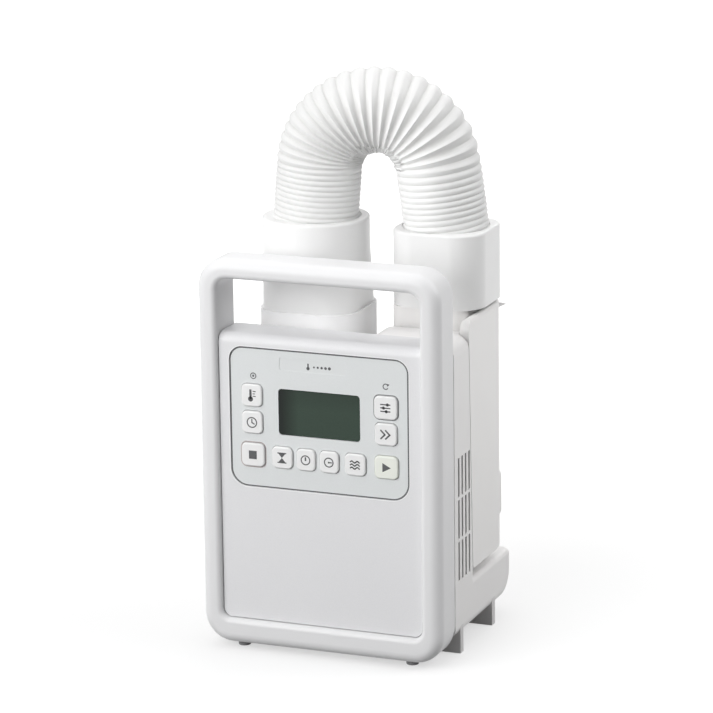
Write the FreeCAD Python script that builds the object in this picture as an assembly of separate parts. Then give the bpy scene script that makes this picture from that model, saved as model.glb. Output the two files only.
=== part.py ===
import FreeCAD, Part
import math
import os

Vec = FreeCAD.Vector

# Bedding dryer: upright case with a carrying loop, hose arch and a docked nozzle.
# Millimetres. X to the right, Y to the back, Z up, floor at Z 0, centred in X and Y.
# A depth is measured back from the front face of the frame.

# Overall size
WIDTH = 163.0
DEPTH = 139.0
HEIGHT = 368.0

# Moulding: wall, sliding fit, seam, and how far a cut runs past the face it opens
WALL = 2.4
FIT = 0.3
SEAM = 0.5
PAST = 1.0

# Stance
FOOT_HEIGHT = 3.5
FOOT_RADIUS = 4.0
FOOT_SPACING = 115.6
FOOT_DEPTH = 12.4
LEG_HEIGHT = 12.0
LEG_THICKNESS = 5.5
LEG_WIDTH = 30.0
FRONT_LEG_DEPTH = 40.8
REAR_LEG_DEPTH = 100.3

# Front frame with the carrying loop
FRAME_TOP = 256.0
FRAME_DEPTH = 24.0
FRAME_CORNER = 19.0
SIDE_BAR = 13.2
TOP_BAR = 12.5
BOTTOM_BAR = 16.9
WINDOW_TOP_CORNER = 8.0
WINDOW_BOTTOM_CORNER = 6.0
NOSE = 7.0
INNER_NOSE = 3.5
LEDGE = 3.0
RING_DEPTH = 8.0
RING_INSET = 1.5
RING_ROUND = 3.0
FRAME_BOSS = 3.0
FRAME_BOSS_LAP = 0.8
FRAME_SCREW = 1.25
FRAME_SCREW_HEAD = 2.6
FRAME_SCREW_HEAD_HEIGHT = 1.8
FRAME_SCREW_BITE = 10.0
FRAME_SCREW_HEIGHTS = (40.0, 120.0, 190.0)

# Front panel
PANEL_RECESS = 4.0
PANEL_TOP = 208.0
PANEL_ROUND = 6.0
PANEL_CORNER = 5.5

# Control plate, display and sign
CONTROL_WIDTH = 121.0
CONTROL_HEIGHT = 91.2
CONTROL_BOTTOM = 108.9
CONTROL_SHIFT = -0.6
CONTROL_TOP_CORNER = 9.0
CONTROL_BOTTOM_CORNER = 11.5
CONTROL_SINK = 0.9
CONTROL_RIM_ROUND = 0.72
CONTROL_GAP = 0.6
CONTROL_FLANGE = 2.0
FLANGE_THICKNESS = 1.6
DISPLAY_WIDTH = 54.6
DISPLAY_HEIGHT = 29.4
DISPLAY_BOTTOM = 144.8
DISPLAY_CORNER = 2.0
DISPLAY_RIM = 3.5
SIGN_WIDTH = 44.6
SIGN_HEIGHT = 7.6
SIGN_BOTTOM = 186.8
SIGN_SHIFT = -4.6
SIGN_CORNER = 1.2
SIGN_LAMP_RIM = 1.0

# Keys: sideways place, height above the floor, width, height
KEY_LAYOUT = {
    "key_temperature": (-45.9, 168.8, 14.2, 14.6),
    "key_time": (-45.9, 151.2, 14.2, 14.6),
    "key_stop": (-45.7, 130.0, 15.8, 15.2),
    "key_reserve": (-25.8, 129.8, 14.2, 14.2),
    "key_hour": (-9.7, 129.8, 13.0, 14.2),
    "key_minute": (6.1, 129.8, 13.0, 14.2),
    "key_keep_warm": (23.7, 129.8, 14.2, 14.2),
    "key_start": (44.6, 130.0, 16.0, 14.8),
    "key_turbo": (44.5, 151.4, 15.0, 14.4),
    "key_mode": (44.6, 168.6, 15.6, 15.0),
}
KEY_CORNER = 3.4
KEY_PROUD = 1.5
KEY_ROUND = 1.1
KEY_GAP = 0.35
KEY_FLANGE = 0.9
KEY_FLANGE_THICKNESS = 1.0
KEY_REST_GAP = 0.1
KEY_TRAVEL = 0.6
KEY_STEM = 5.0

# Control board and its switches
BOARD_STANDOFF = 7.0
BOARD_THICKNESS = 1.6
BOARD_MARGIN = 2.5
SWITCH_SIZE = 6.0
SWITCH_HEIGHT = 3.5
SWITCH_PLUNGER = 1.7
SWITCH_PLUNGER_HEIGHT = 0.8
POST_RADIUS = 2.6
POST_INSET_X = 6.5
POST_INSET_Z = 6.5
BOARD_SCREW = 0.95
BOARD_SCREW_HEAD = 1.9
BOARD_SCREW_HEAD_HEIGHT = 1.4
BOARD_SCREW_BITE = 5.0
SCREW_PLAY = 0.05
SCREW_CLEARANCE = 0.35

# Body shell
SHELL_STEP = 0.4
FLAT_TOP_DEPTH = 40.0
REAR_TOP = 184.0
TOP_BEND = 30.0
REAR_TOP_CORNER = 14.0
SHELL_ROUND = 9.0
SILL_DEPTH = 21.0
SILL_TOP = 42.7
SILL_FLOOR = 34.0
SILL_LIP = 9.0
SILL_LIP_ROUND = 3.2
BASE_CORNER = 18.0
BASE_ROUND = 6.5
VENT_COLUMNS = 4
VENT_ROWS = 3
VENT_WIDTH = 2.8
VENT_PITCH = 6.3
VENT_FRONT = 38.0
VENT_LENGTH = 25.6
VENT_BAR = 2.0
VENT_BOTTOM = 49.1

# Base plate under the body
BASE_PLATE_WIDTH = 112.0
BASE_PLATE_THICKNESS = 2.0
BASE_PLATE_CORNER = 5.0
BASE_PLATE_MARGIN = 3.0
BASE_PLATE_LAP = 9.0
BASE_SLOTS = 7
BASE_SLOT_WIDTH = 4.0
BASE_SCREW = 1.4
BASE_SCREW_HEAD = 3.0
BASE_SCREW_HEAD_HEIGHT = 1.6
BASE_SCREW_INSET = 5.0

# Outlet and hose cuff
OUTLET_X = -28.2
OUTLET_SHIFT = -1.0
OUTLET_WIDTH = 66.4
OUTLET_LENGTH = 64.4
OUTLET_CORNER = 18.5
OUTLET_WALL = 3.0
OUTLET_BOTTOM = 172.0
OUTLET_TOP = 214.0
CUFF_STEP = 1.7
CUFF_TOP = 272.0
CUFF_RADIUS = 34.4
CUFF_BLEND = 38.0
CUFF_FLAT = 0.07
CUFF_SHIFT_X = -0.8
CUFF_SHIFT_Y = -0.5
RIM_ROUND = 1.6

# Ribbed hose
HOSE_RADIUS = 27.6
RIB_DEPTH = 2.4
HOSE_WALL = 1.2
HOSE_SEAT = 250.7
HOSE_LEAN = 5.5
HOSE_CROSSING = 262.0
HOSE_ROOM = 0.5
SEAT_WIDTH = 3.0
LEG_RIB_PITCH = 3.5
ARCH_RIB_PITCH = 6.2
RIB_VALLEY = 0.25
RIB_CREST = (0.5, 0.75)

# Nozzle: collar, shell, grille and flap
COLLAR_SIZE = 61.4
COLLAR_CORNER = 19.0
COLLAR_BOTTOM = 217.0
COLLAR_TOP = 265.5
COLLAR_OVERHANG = 2.8
NOZZLE_SETBACK = 12.0
NOZZLE_THICKNESS = 41.6
NOZZLE_BOTTOM = 49.4
NOZZLE_FRONT = 66.0
NOZZLE_CORNER = 7.0
NOZZLE_WALL = 2.0
NECK_BOTTOM = 200.0
NECK_FRONT = 70.0
NECK_REACH = 50.4
NECK_CORNER = 7.0
GRILLE_LIFT = 19.0
GRILLE_HEIGHT = 4.0
GRILLE_RIM = 2.0
GRILLE_BARS = 6
GRILLE_BAR = 1.6
AIR_WINDOW_MARGIN = 12.0
FLAP_THICKNESS = 6.0
FLAP_FRONT_TOP = 59.0
FLAP_FRONT_BOTTOM = 65.0
FLAP_TOP = 214.0
FLAP_TOP_CORNER = 8.0
FLAP_REAR_CORNER = 18.0
FLAP_WRAP = 17.6
FLAP_WRAP_ROUND = 14.0
FLAP_SKIN = 2.4
FLAP_EDGE_ROUND = 2.94
FLAP_GAP = 0.8
FLAP_BACK_GAP = 0.4
TAB_LENGTH = 8.0
TAB_WIDTH = 5.0
TAB_HEIGHT = 5.0
TAB_DROP = 7.5
TAB_TURN = 57.0
FLAP_GRIP_BOTTOM = 68.0
FLAP_GRIP_TOP = 101.0
FLAP_GRIP_RADIUS = 5.0
FLAP_GRIP_PROUD = 2.2
HINGE_INSET = 2.6
PIN_RADIUS = 1.25
PIN_PLAY = 0.05
PIN_END = 7.0
EAR_RADIUS = 2.2
EAR_WIDTH = 4.0
EAR_ARM_RISE = 1.0
EAR_INSET = 12.0

# Dock for the nozzle
DOCK_GAP = 2.0
SADDLE_WIDTH = 13.5
SADDLE_FRONT = 74.0
SADDLE_SETBACK = 6.0

# Fan, motor and heater
FAN_Z = 90.0
SCROLL_RADIUS = 46.0
SCROLL_DEPTH = 42.0
SCROLL_WALL = 1.8
SCROLL_NECK = 54.0
SCROLL_TOP = 140.0
INLET_RADIUS = 32.0
INLET_WALL = 2.0
IMPELLER_RADIUS = 36.0
IMPELLER_WIDTH = 32.0
IMPELLER_BLADES = 20
BLADE_LENGTH = 8.0
BLADE_THICKNESS = 1.2
BLADE_LEAN = 25.0
HUB_RADIUS = 7.0
HUB_DISC = 2.0
SHAFT_RADIUS = 2.5
SHAFT_PLAY = 0.05
SHAFT_HOLE = 9.0
MOTOR_RADIUS = 22.0
MOTOR_LENGTH = 30.0
MOTOR_ROUND = 3.0
DUCT_WALL = 1.8
HEATER_HEIGHT = 20.0
HEATER_SLOTS = 7
HEATER_SLOT = 4.5
HEATER_RIM = 4.0
THERMOSTAT_RADIUS = 7.0
THERMOSTAT_HEIGHT = 5.0
FUSE_RADIUS = 2.2
FUSE_LENGTH = 14.0
FUSE_LIFT = 8.0
THERMOSTAT_LIFT = 20.0

# Power board
POWER_DEPTH = 36.0
POWER_LEFT = 4.0
POWER_RIGHT = 64.0
POWER_HEIGHT = 88.0
TRANSFORMER = (26.0, 20.0, 22.0)
TRANSFORMER_PLACE = (8.0, 12.0)
CAPACITOR_RADIUS = 6.0
CAPACITOR_LENGTH = 16.0
CAPACITOR_PLACE = (46.0, 20.0)
RELAY = (16.0, 14.0, 20.0)
RELAY_PLACE = (38.0, 54.0)

# Filter cover on the rear wall
COVER_WIDTH = 82.0
COVER_HEIGHT = 104.0
COVER_BOTTOM = 48.0
COVER_THICKNESS = 3.4
COVER_CORNER = 8.0
COVER_GAP = 1.6
COVER_SLOTS = 11
COVER_SLOT_HEIGHT = 4.0
COVER_SLOT_ROUND = 1.9
COVER_RIM = 11.0
COVER_PIN = 1.7
COVER_PIN_PLAY = 0.08
COVER_AXIS_HEIGHT = 50.2
LUG_WIDTH = 5.0
LUG_RADIUS = 3.6
LUG_PLAY = 0.4
MESH_WIDTH = 72.0
MESH_HEIGHT = 90.0
MESH_THICKNESS = 1.2
MESH_COLUMNS = 8
MESH_ROWS = 10
MESH_BAR = 1.4

# Cord bush in the rear wall
BUSH_X = 27.2
BUSH_Z = 72.0
BUSH_RADIUS = 4.4
BUSH_FLANGE = 6.0
BUSH_FLANGE_THICKNESS = 2.4
BUSH_BORE = 3.2


# Places worked out from the sizes above
def y_at(depth):
    """Y of the plane that lies this far behind the front of the frame."""
    return depth - DEPTH / 2


WINDOW_HALF = WIDTH / 2 - SIDE_BAR
WINDOW_BOTTOM = FOOT_HEIGHT + BOTTOM_BAR
WINDOW_TOP = FRAME_TOP - TOP_BAR
RING_BACK = FRAME_DEPTH + RING_DEPTH
PANEL_BACK = PANEL_RECESS + WALL
PANEL_HALF = WINDOW_HALF - SEAM
PLATE_FRONT = PANEL_RECESS + CONTROL_SINK
PLATE_BACK = PANEL_BACK + FLANGE_THICKNESS
BOARD_FRONT = PLATE_BACK + BOARD_STANDOFF
BOARD_BACK = BOARD_FRONT + BOARD_THICKNESS
SWITCH_TOP = BOARD_FRONT - SWITCH_HEIGHT - SWITCH_PLUNGER_HEIGHT
CONTROL_TOP = CONTROL_BOTTOM + CONTROL_HEIGHT
BODY_HALF = WIDTH / 2 - RING_INSET - SHELL_STEP
BODY_TOP = PANEL_TOP - WALL - FIT
BODY_REAR = DEPTH - SILL_DEPTH
BODY_INSIDE = BODY_REAR - WALL
OUTLET_DEPTH = (RING_BACK + BODY_REAR) / 2 + OUTLET_SHIFT
FLOOR_TOP = LEG_HEIGHT + WALL
NOZZLE_REAR = DEPTH - NOZZLE_SETBACK
FLAP_INNER = BODY_HALF - FLAP_THICKNESS
HINGE_X = FLAP_INNER + HINGE_INSET
HINGE_Z = FLAP_TOP - FLAP_THICKNESS / 2
NOZZLE_RIGHT = FLAP_INNER - 2 * FLAP_BACK_GAP
NOZZLE_LEFT = BODY_HALF - NOZZLE_THICKNESS
SHELL_REAR = NOZZLE_REAR - FLAP_SKIN - 2 * FIT
NECK_LEFT = NOZZLE_RIGHT - NECK_REACH
DOCK_X = NOZZLE_LEFT - DOCK_GAP
DOCK_FRONT = NOZZLE_FRONT - DOCK_GAP
COLLAR_X = WIDTH / 2 - COLLAR_SIZE / 2 - SEAM
COLLAR_DEPTH = NOZZLE_REAR + COLLAR_OVERHANG - COLLAR_SIZE / 2
CUFF_X = OUTLET_X + CUFF_SHIFT_X
CUFF_DEPTH = OUTLET_DEPTH + CUFF_SHIFT_Y
SCROLL_FRONT = OUTLET_DEPTH - SCROLL_DEPTH / 2
SCROLL_BACK = OUTLET_DEPTH + SCROLL_DEPTH / 2
COVER_INNER = BODY_REAR + COVER_GAP
COVER_OUTER = COVER_INNER + COVER_THICKNESS
COVER_AXIS_DEPTH = COVER_INNER + COVER_THICKNESS / 2


def rect(a0, a1, b0, b1):
    """Corners of a rectangle."""
    return [(a0, b0), (a1, b0), (a1, b1), (a0, b1)]


def rounded_wire(corners, radii, place):
    """Closed wire through plane corners, each rounded by its own radius."""
    count = len(corners)
    entries = []
    middles = []
    exits = []
    for i in range(count):
        corner = Vec(*corners[i], 0)
        back = (Vec(*corners[i - 1], 0) - corner).normalize()
        ahead = (Vec(*corners[(i + 1) % count], 0) - corner).normalize()
        half = back.getAngle(ahead) / 2
        reach = radii[i] / math.tan(half)
        inward = (back + ahead).normalize()
        entries.append(corner + back * reach)
        middles.append(corner + inward * (radii[i] / math.sin(half) - radii[i]))
        exits.append(corner + ahead * reach)
    edges = []
    for i in range(count):
        if radii[i] > 0:
            arc = Part.Arc(place(entries[i]), place(middles[i]), place(exits[i]))
            edges.append(arc.toShape())
        start = exits[i]
        end = entries[(i + 1) % count]
        if (end - start).Length > 1e-6:
            edges.append(Part.LineSegment(place(start), place(end)).toShape())
    return Part.Wire(edges)


def slab_x(corners, radii, x0, x1):
    """Rounded outline in depth and height, carried along X."""
    wire = rounded_wire(corners, radii, lambda p: Vec(x0, y_at(p.x), p.y))
    return Part.Face(wire).extrude(Vec(x1 - x0, 0, 0))


def slab_y(corners, radii, depth0, depth1):
    """Rounded outline in X and height, carried back from one depth to another."""
    wire = rounded_wire(corners, radii, lambda p: Vec(p.x, y_at(depth0), p.y))
    return Part.Face(wire).extrude(Vec(0, depth1 - depth0, 0))


def slab_z(corners, radii, z0, z1):
    """Rounded outline in X and depth, carried up."""
    wire = rounded_wire(corners, radii, lambda p: Vec(p.x, y_at(p.y), z0))
    return Part.Face(wire).extrude(Vec(0, 0, z1 - z0))


def block(x0, x1, depth0, depth1, z0, z1):
    """Plain block between two corners."""
    return Part.makeBox(x1 - x0, depth1 - depth0, z1 - z0, Vec(x0, y_at(depth0), z0))


def bar_x(radius, x0, x1, depth, z):
    """Round bar along X."""
    return Part.makeCylinder(radius, x1 - x0, Vec(x0, y_at(depth), z), Vec(1, 0, 0))


def bar_y(radius, x, depth0, depth1, z):
    """Round bar along Y."""
    return Part.makeCylinder(radius, depth1 - depth0, Vec(x, y_at(depth0), z), Vec(0, 1, 0))


def bar_z(radius, x, depth, z0, z1):
    """Round bar along Z."""
    return Part.makeCylinder(radius, z1 - z0, Vec(x, y_at(depth), z0))


def fuse(shapes):
    """One shape from several that touch or overlap."""
    return shapes[0].multiFuse(shapes[1:]).removeSplitter()


def edges_on(shape, axis, value):
    """Edges that lie wholly on one plane square to an axis."""
    picked = []
    for edge in shape.Edges:
        low = getattr(edge.BoundBox, axis + "Min")
        high = getattr(edge.BoundBox, axis + "Max")
        if abs(low - value) < 1e-3 and abs(high - value) < 1e-3:
            picked.append(edge)
    return picked


def save(name, shape):
    """Write one sub-part."""
    os.makedirs("parts", exist_ok=True)
    shape.exportStep("parts/" + name + ".step")


# Front frame, ring and fasteners
def frame_screw_places():
    """Sideways place and height of each frame screw."""
    x = WINDOW_HALF + WALL + FRAME_BOSS - FRAME_BOSS_LAP
    return [(side * x, z) for side in (-1, 1) for z in FRAME_SCREW_HEIGHTS]


def window_slab(grow, depth0, depth1):
    """Inner window of the frame, made larger by grow."""
    corners = rect(-WINDOW_HALF - grow, WINDOW_HALF + grow, WINDOW_BOTTOM - grow, WINDOW_TOP + grow)
    low = WINDOW_BOTTOM_CORNER + grow
    high = WINDOW_TOP_CORNER + grow
    return slab_y(corners, [low, low, high, high], depth0, depth1)


def loop_slab(inset, depth0, depth1):
    """Outer outline of the frame, made smaller by inset."""
    corners = rect(-WIDTH / 2 + inset, WIDTH / 2 - inset, FOOT_HEIGHT + inset, FRAME_TOP - inset)
    return slab_y(corners, [FRAME_CORNER - inset] * 4, depth0, depth1)


def front_frame():
    outer = loop_slab(0, 0, FRAME_DEPTH)
    outer = outer.makeFillet(NOSE, edges_on(outer, "Y", y_at(0)))
    frame = outer.cut(window_slab(0, -PAST, FRAME_DEPTH + PAST))
    rim = []
    for edge in edges_on(frame, "Y", y_at(0)):
        if edge.BoundBox.XMax < WINDOW_HALF + PAST and edge.BoundBox.XMin > -WINDOW_HALF - PAST:
            if edge.BoundBox.ZMin > WINDOW_BOTTOM - PAST and edge.BoundBox.ZMax < WINDOW_TOP + PAST:
                rim.append(edge)
    frame = frame.makeFillet(INNER_NOSE, rim)
    hollow = loop_slab(WALL, NOSE, FRAME_DEPTH + PAST).cut(window_slab(WALL, NOSE, FRAME_DEPTH + PAST))
    frame = frame.cut(hollow)
    ledge = window_slab(0, PANEL_BACK, PANEL_BACK + WALL)
    ledge = ledge.cut(window_slab(-LEDGE, PANEL_BACK, PANEL_BACK + WALL))
    ledge_top = PANEL_TOP - WALL - 2 * LEDGE
    ledge = ledge.common(block(-WIDTH, WIDTH, 0, FRAME_DEPTH, 0, ledge_top))
    pieces = [frame, ledge]
    for x, z in frame_screw_places():
        pieces.append(bar_y(FRAME_BOSS, x, NOSE - PAST, FRAME_DEPTH, z))
    frame = fuse(pieces)
    for x, z in frame_screw_places():
        hole = bar_y(FRAME_SCREW + SCREW_PLAY, x, FRAME_DEPTH - FRAME_SCREW_BITE - PAST, FRAME_DEPTH + PAST, z)
        frame = frame.cut(hole)
    return frame


def frame_ring():
    ring = loop_slab(RING_INSET, FRAME_DEPTH, RING_BACK).cut(window_slab(0, 0, RING_BACK + PAST))
    ring = ring.makeFillet(RING_ROUND, edges_on(ring, "Y", y_at(RING_BACK)))
    for x, z in frame_screw_places():
        ring = ring.cut(bar_y(FRAME_SCREW + SCREW_CLEARANCE, x, 0, RING_BACK + PAST, z))
    return ring


def frame_screws():
    screws = []
    for x, z in frame_screw_places():
        shank = bar_y(FRAME_SCREW, x, FRAME_DEPTH - FRAME_SCREW_BITE, RING_BACK, z)
        head = bar_y(FRAME_SCREW_HEAD, x, RING_BACK, RING_BACK + FRAME_SCREW_HEAD_HEIGHT, z)
        screws.append(shank.fuse(head))
    return Part.makeCompound(screws)


def foot_places():
    """Sideways place of each front foot."""
    return (-FOOT_SPACING / 2, FOOT_SPACING / 2)


def front_feet():
    feet = []
    for x in foot_places():
        foot = bar_z(FOOT_RADIUS, x, FOOT_DEPTH, 0, FOOT_HEIGHT)
        feet.append(foot.makeFillet(FOOT_RADIUS / 8, edges_on(foot, "Z", 0)))
    return Part.makeCompound(feet)


# Front panel and control plate
def control_slab(grow, depth0, depth1):
    """Outline of the control opening, made larger by grow."""
    half = CONTROL_WIDTH / 2 + grow
    corners = rect(CONTROL_SHIFT - half, CONTROL_SHIFT + half, CONTROL_BOTTOM - grow, CONTROL_TOP + grow)
    low = CONTROL_BOTTOM_CORNER + grow
    high = CONTROL_TOP_CORNER + grow
    return slab_y(corners, [low, low, high, high], depth0, depth1)


def front_panel():
    bottom = WINDOW_BOTTOM + SEAM
    profile = [
        (PANEL_RECESS, bottom),
        (PANEL_RECESS, PANEL_TOP),
        (RING_BACK, PANEL_TOP),
        (RING_BACK, PANEL_TOP - WALL),
        (PANEL_BACK, PANEL_TOP - WALL),
        (PANEL_BACK, bottom),
    ]
    bend = PANEL_ROUND - WALL
    panel = slab_x(profile, [0, PANEL_ROUND, WALL / 3, 0, bend, 0], -PANEL_HALF, PANEL_HALF)
    corners = rect(-PANEL_HALF, PANEL_HALF, bottom, PANEL_TOP)
    panel = panel.common(slab_y(corners, [PANEL_CORNER, PANEL_CORNER, 0, 0], 0, RING_BACK))
    panel = panel.cut(control_slab(0, 0, PANEL_BACK + PAST))
    rim = []
    for edge in edges_on(panel, "Y", y_at(PANEL_RECESS)):
        inside = abs(edge.CenterOfMass.x - CONTROL_SHIFT) < CONTROL_WIDTH / 2 + PAST
        if inside and CONTROL_BOTTOM - PAST < edge.CenterOfMass.z < CONTROL_TOP + PAST:
            rim.append(edge)
    return panel.makeFillet(CONTROL_RIM_ROUND, rim)


def display_slab(grow, depth0, depth1):
    """Outline of the display window, made larger by grow."""
    half = DISPLAY_WIDTH / 2 + grow
    top = DISPLAY_BOTTOM + DISPLAY_HEIGHT
    corners = rect(CONTROL_SHIFT - half, CONTROL_SHIFT + half, DISPLAY_BOTTOM - grow, top + grow)
    return slab_y(corners, [DISPLAY_CORNER + grow] * 4, depth0, depth1)


def sign_slab(grow, depth0, depth1):
    """Outline of the sign lens, made larger by grow."""
    half = SIGN_WIDTH / 2 + grow
    corners = rect(SIGN_SHIFT - half, SIGN_SHIFT + half, SIGN_BOTTOM - grow, SIGN_BOTTOM + SIGN_HEIGHT + grow)
    return slab_y(corners, [SIGN_CORNER + grow] * 4, depth0, depth1)


def key_slab(name, grow, depth0, depth1):
    """Outline of one key, made larger by grow."""
    x, z, width, height = KEY_LAYOUT[name]
    corners = rect(x - width / 2 - grow, x + width / 2 + grow, z - height / 2 - grow, z + height / 2 + grow)
    return slab_y(corners, [KEY_CORNER + grow] * 4, depth0, depth1)


def post_places():
    """Sideways place and height of the four board posts."""
    half = CONTROL_WIDTH / 2 - POST_INSET_X
    heights = (CONTROL_BOTTOM + POST_INSET_Z, CONTROL_TOP - POST_INSET_Z)
    return [(CONTROL_SHIFT + side * half, z) for side in (-1, 1) for z in heights]


def control_plate():
    face = control_slab(-CONTROL_GAP, PLATE_FRONT, PLATE_BACK)
    flange = control_slab(CONTROL_FLANGE, PANEL_BACK, PLATE_BACK)
    pieces = [face, flange]
    for x, z in post_places():
        pieces.append(bar_y(POST_RADIUS, x, PLATE_BACK - PAST, BOARD_FRONT, z))
    plate = fuse(pieces)
    plate = plate.cut(display_slab(FIT, 0, PLATE_BACK + PAST))
    plate = plate.cut(sign_slab(FIT, 0, PLATE_BACK + PAST))
    for name in KEY_LAYOUT:
        plate = plate.cut(key_slab(name, KEY_GAP, 0, PLATE_BACK + PAST))
    for x, z in post_places():
        hole = bar_y(BOARD_SCREW + SCREW_PLAY, x, BOARD_FRONT - BOARD_SCREW_BITE - PAST, BOARD_FRONT + PAST, z)
        plate = plate.cut(hole)
    return plate


def key(name):
    cap = key_slab(name, 0, PLATE_FRONT - KEY_PROUD, PLATE_BACK + KEY_REST_GAP)
    cap = cap.makeFillet(KEY_ROUND, edges_on(cap, "Y", y_at(PLATE_FRONT - KEY_PROUD)))
    flange_front = PLATE_BACK + KEY_REST_GAP
    flange_back = flange_front + KEY_FLANGE_THICKNESS
    flange = key_slab(name, KEY_FLANGE, flange_front, flange_back)
    x, z = KEY_LAYOUT[name][:2]
    half = KEY_STEM / 2
    stem = block(x - half, x + half, flange_back, SWITCH_TOP - KEY_TRAVEL - KEY_REST_GAP, z - half, z + half)
    return fuse([cap, flange, stem])


def display_window():
    return display_slab(0, PLATE_FRONT + FIT, PLATE_BACK)


def display_module():
    return display_slab(DISPLAY_RIM, PLATE_BACK, BOARD_FRONT)


def sign_lens():
    return sign_slab(0, PLATE_FRONT + FIT, PLATE_BACK)


def sign_lamp():
    return sign_slab(-SIGN_LAMP_RIM, PLATE_BACK, BOARD_FRONT)


def control_board():
    half = CONTROL_WIDTH / 2 - BOARD_MARGIN
    board = block(
        CONTROL_SHIFT - half,
        CONTROL_SHIFT + half,
        BOARD_FRONT,
        BOARD_BACK,
        CONTROL_BOTTOM + BOARD_MARGIN,
        CONTROL_TOP - BOARD_MARGIN,
    )
    for x, z in post_places():
        board = board.cut(bar_y(BOARD_SCREW + SCREW_CLEARANCE, x, 0, BOARD_BACK + PAST, z))
    return board


def tact_switches():
    switches = []
    half = SWITCH_SIZE / 2
    for x, z, _, _ in KEY_LAYOUT.values():
        case = block(x - half, x + half, BOARD_FRONT - SWITCH_HEIGHT, BOARD_FRONT, z - half, z + half)
        plunger = bar_y(SWITCH_PLUNGER, x, SWITCH_TOP, BOARD_FRONT - SWITCH_HEIGHT, z)
        switches.append(case.fuse(plunger))
    return Part.makeCompound(switches)


def board_screws():
    screws = []
    for x, z in post_places():
        shank = bar_y(BOARD_SCREW, x, BOARD_FRONT - BOARD_SCREW_BITE, BOARD_BACK, z)
        head = bar_y(BOARD_SCREW_HEAD, x, BOARD_BACK, BOARD_BACK + BOARD_SCREW_HEAD_HEIGHT, z)
        screws.append(shank.fuse(head))
    return Part.makeCompound(screws)


# Body shell with its dock, sill and vents
def case_form(inset, front):
    """Upper body with its sloping top, made smaller by inset."""
    half = BODY_HALF - inset
    profile = [
        (front, SILL_FLOOR - WALL + inset),
        (BODY_REAR - inset, SILL_FLOOR - WALL + inset),
        (BODY_REAR - inset, REAR_TOP - inset),
        (FLAT_TOP_DEPTH, BODY_TOP - inset),
        (front, BODY_TOP - inset),
    ]
    form = slab_x(profile, [0, 0, REAR_TOP_CORNER - inset, TOP_BEND, 0], -half, half)
    rounded = []
    for side in (-half, half):
        for edge in edges_on(form, "X", side):
            low = edge.BoundBox.ZMax < SILL_FLOOR + WALL
            upright = edge.BoundBox.YMax < y_at(front) + 1e-3
            if not low and not upright:
                rounded.append(edge)
    return form.makeFillet(SHELL_ROUND - inset, rounded)


def base_form(inset, front):
    """Lower body with the sill that reaches the back, made smaller by inset."""
    half = BODY_HALF - inset
    profile = rect(front, DEPTH - inset, LEG_HEIGHT + inset, SILL_TOP)
    form = slab_x(profile, [0, BASE_CORNER - inset, 0, 0], -half, half)
    rounded = []
    for side in (-half, half):
        for edge in edges_on(form, "X", side):
            top = edge.BoundBox.ZMin > SILL_TOP - 1e-3
            upright = edge.BoundBox.YMax < y_at(front) + 1e-3
            if not top and not upright:
                rounded.append(edge)
    return form.makeFillet(BASE_ROUND - inset, rounded)


def flap_front_at(z):
    """Depth of the flap's slanting front edge at a height."""
    share = (FLAP_TOP - z) / (FLAP_TOP - NOZZLE_BOTTOM)
    return FLAP_FRONT_TOP + share * (FLAP_FRONT_BOTTOM - FLAP_FRONT_TOP)


def dock_form(grow):
    """Space that the docked nozzle takes out of the body, walls moved out by grow."""
    ceiling = FRAME_TOP
    beyond = DEPTH + SILL_DEPTH
    deep = block(DOCK_X - grow, WIDTH, DOCK_FRONT - grow, beyond, SILL_TOP - grow, ceiling)
    lip = SILL_LIP - grow
    well_outline = rect(DOCK_X - grow, BODY_HALF - lip, DOCK_FRONT - grow, DEPTH - lip)
    well = slab_z(well_outline, [SILL_LIP_ROUND + grow] * 4, SILL_FLOOR - grow, SILL_TOP)
    low = SILL_TOP - grow
    gap = FLAP_GAP + grow
    side = [
        (flap_front_at(low) - gap, low),
        (beyond, low),
        (beyond, ceiling),
        (flap_front_at(ceiling) - gap, ceiling),
    ]
    recess = slab_x(side, [0] * 4, FLAP_INNER - FLAP_BACK_GAP - grow, WIDTH)
    return fuse([deep, well, recess])


def outlet_slab(grow, z0, z1):
    """Outline of the outlet ring, made larger by grow."""
    half_x = OUTLET_WIDTH / 2 + grow
    half_y = OUTLET_LENGTH / 2 + grow
    corners = rect(OUTLET_X - half_x, OUTLET_X + half_x, OUTLET_DEPTH - half_y, OUTLET_DEPTH + half_y)
    return slab_z(corners, [OUTLET_CORNER + grow] * 4, z0, z1)


def shoulder_form(inset):
    """Flat shoulder in front of the dock, level with the front of the top."""
    left = DOCK_X - 2 * SHELL_ROUND + inset
    right = BODY_HALF - inset
    form = block(left, right, RING_BACK, DOCK_FRONT - inset, FAN_Z, BODY_TOP - inset)
    top = [edge for edge in edges_on(form, "Z", BODY_TOP - inset) if edge.BoundBox.YLength > 1]
    return form.makeFillet(SHELL_ROUND - inset, top)


def vent_slots():
    """Slots through both side walls."""
    slots = []
    for side in (-1, 1):
        x0 = min(side * (BODY_HALF - WALL - PAST), side * (BODY_HALF + PAST))
        for column in range(VENT_COLUMNS):
            depth = VENT_FRONT + column * VENT_PITCH
            for row in range(VENT_ROWS):
                z = VENT_BOTTOM + row * (VENT_LENGTH + VENT_BAR)
                slots.append(block(x0, x0 + WALL + 2 * PAST, depth, depth + VENT_WIDTH, z, z + VENT_LENGTH))
    return Part.makeCompound(slots)


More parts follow.
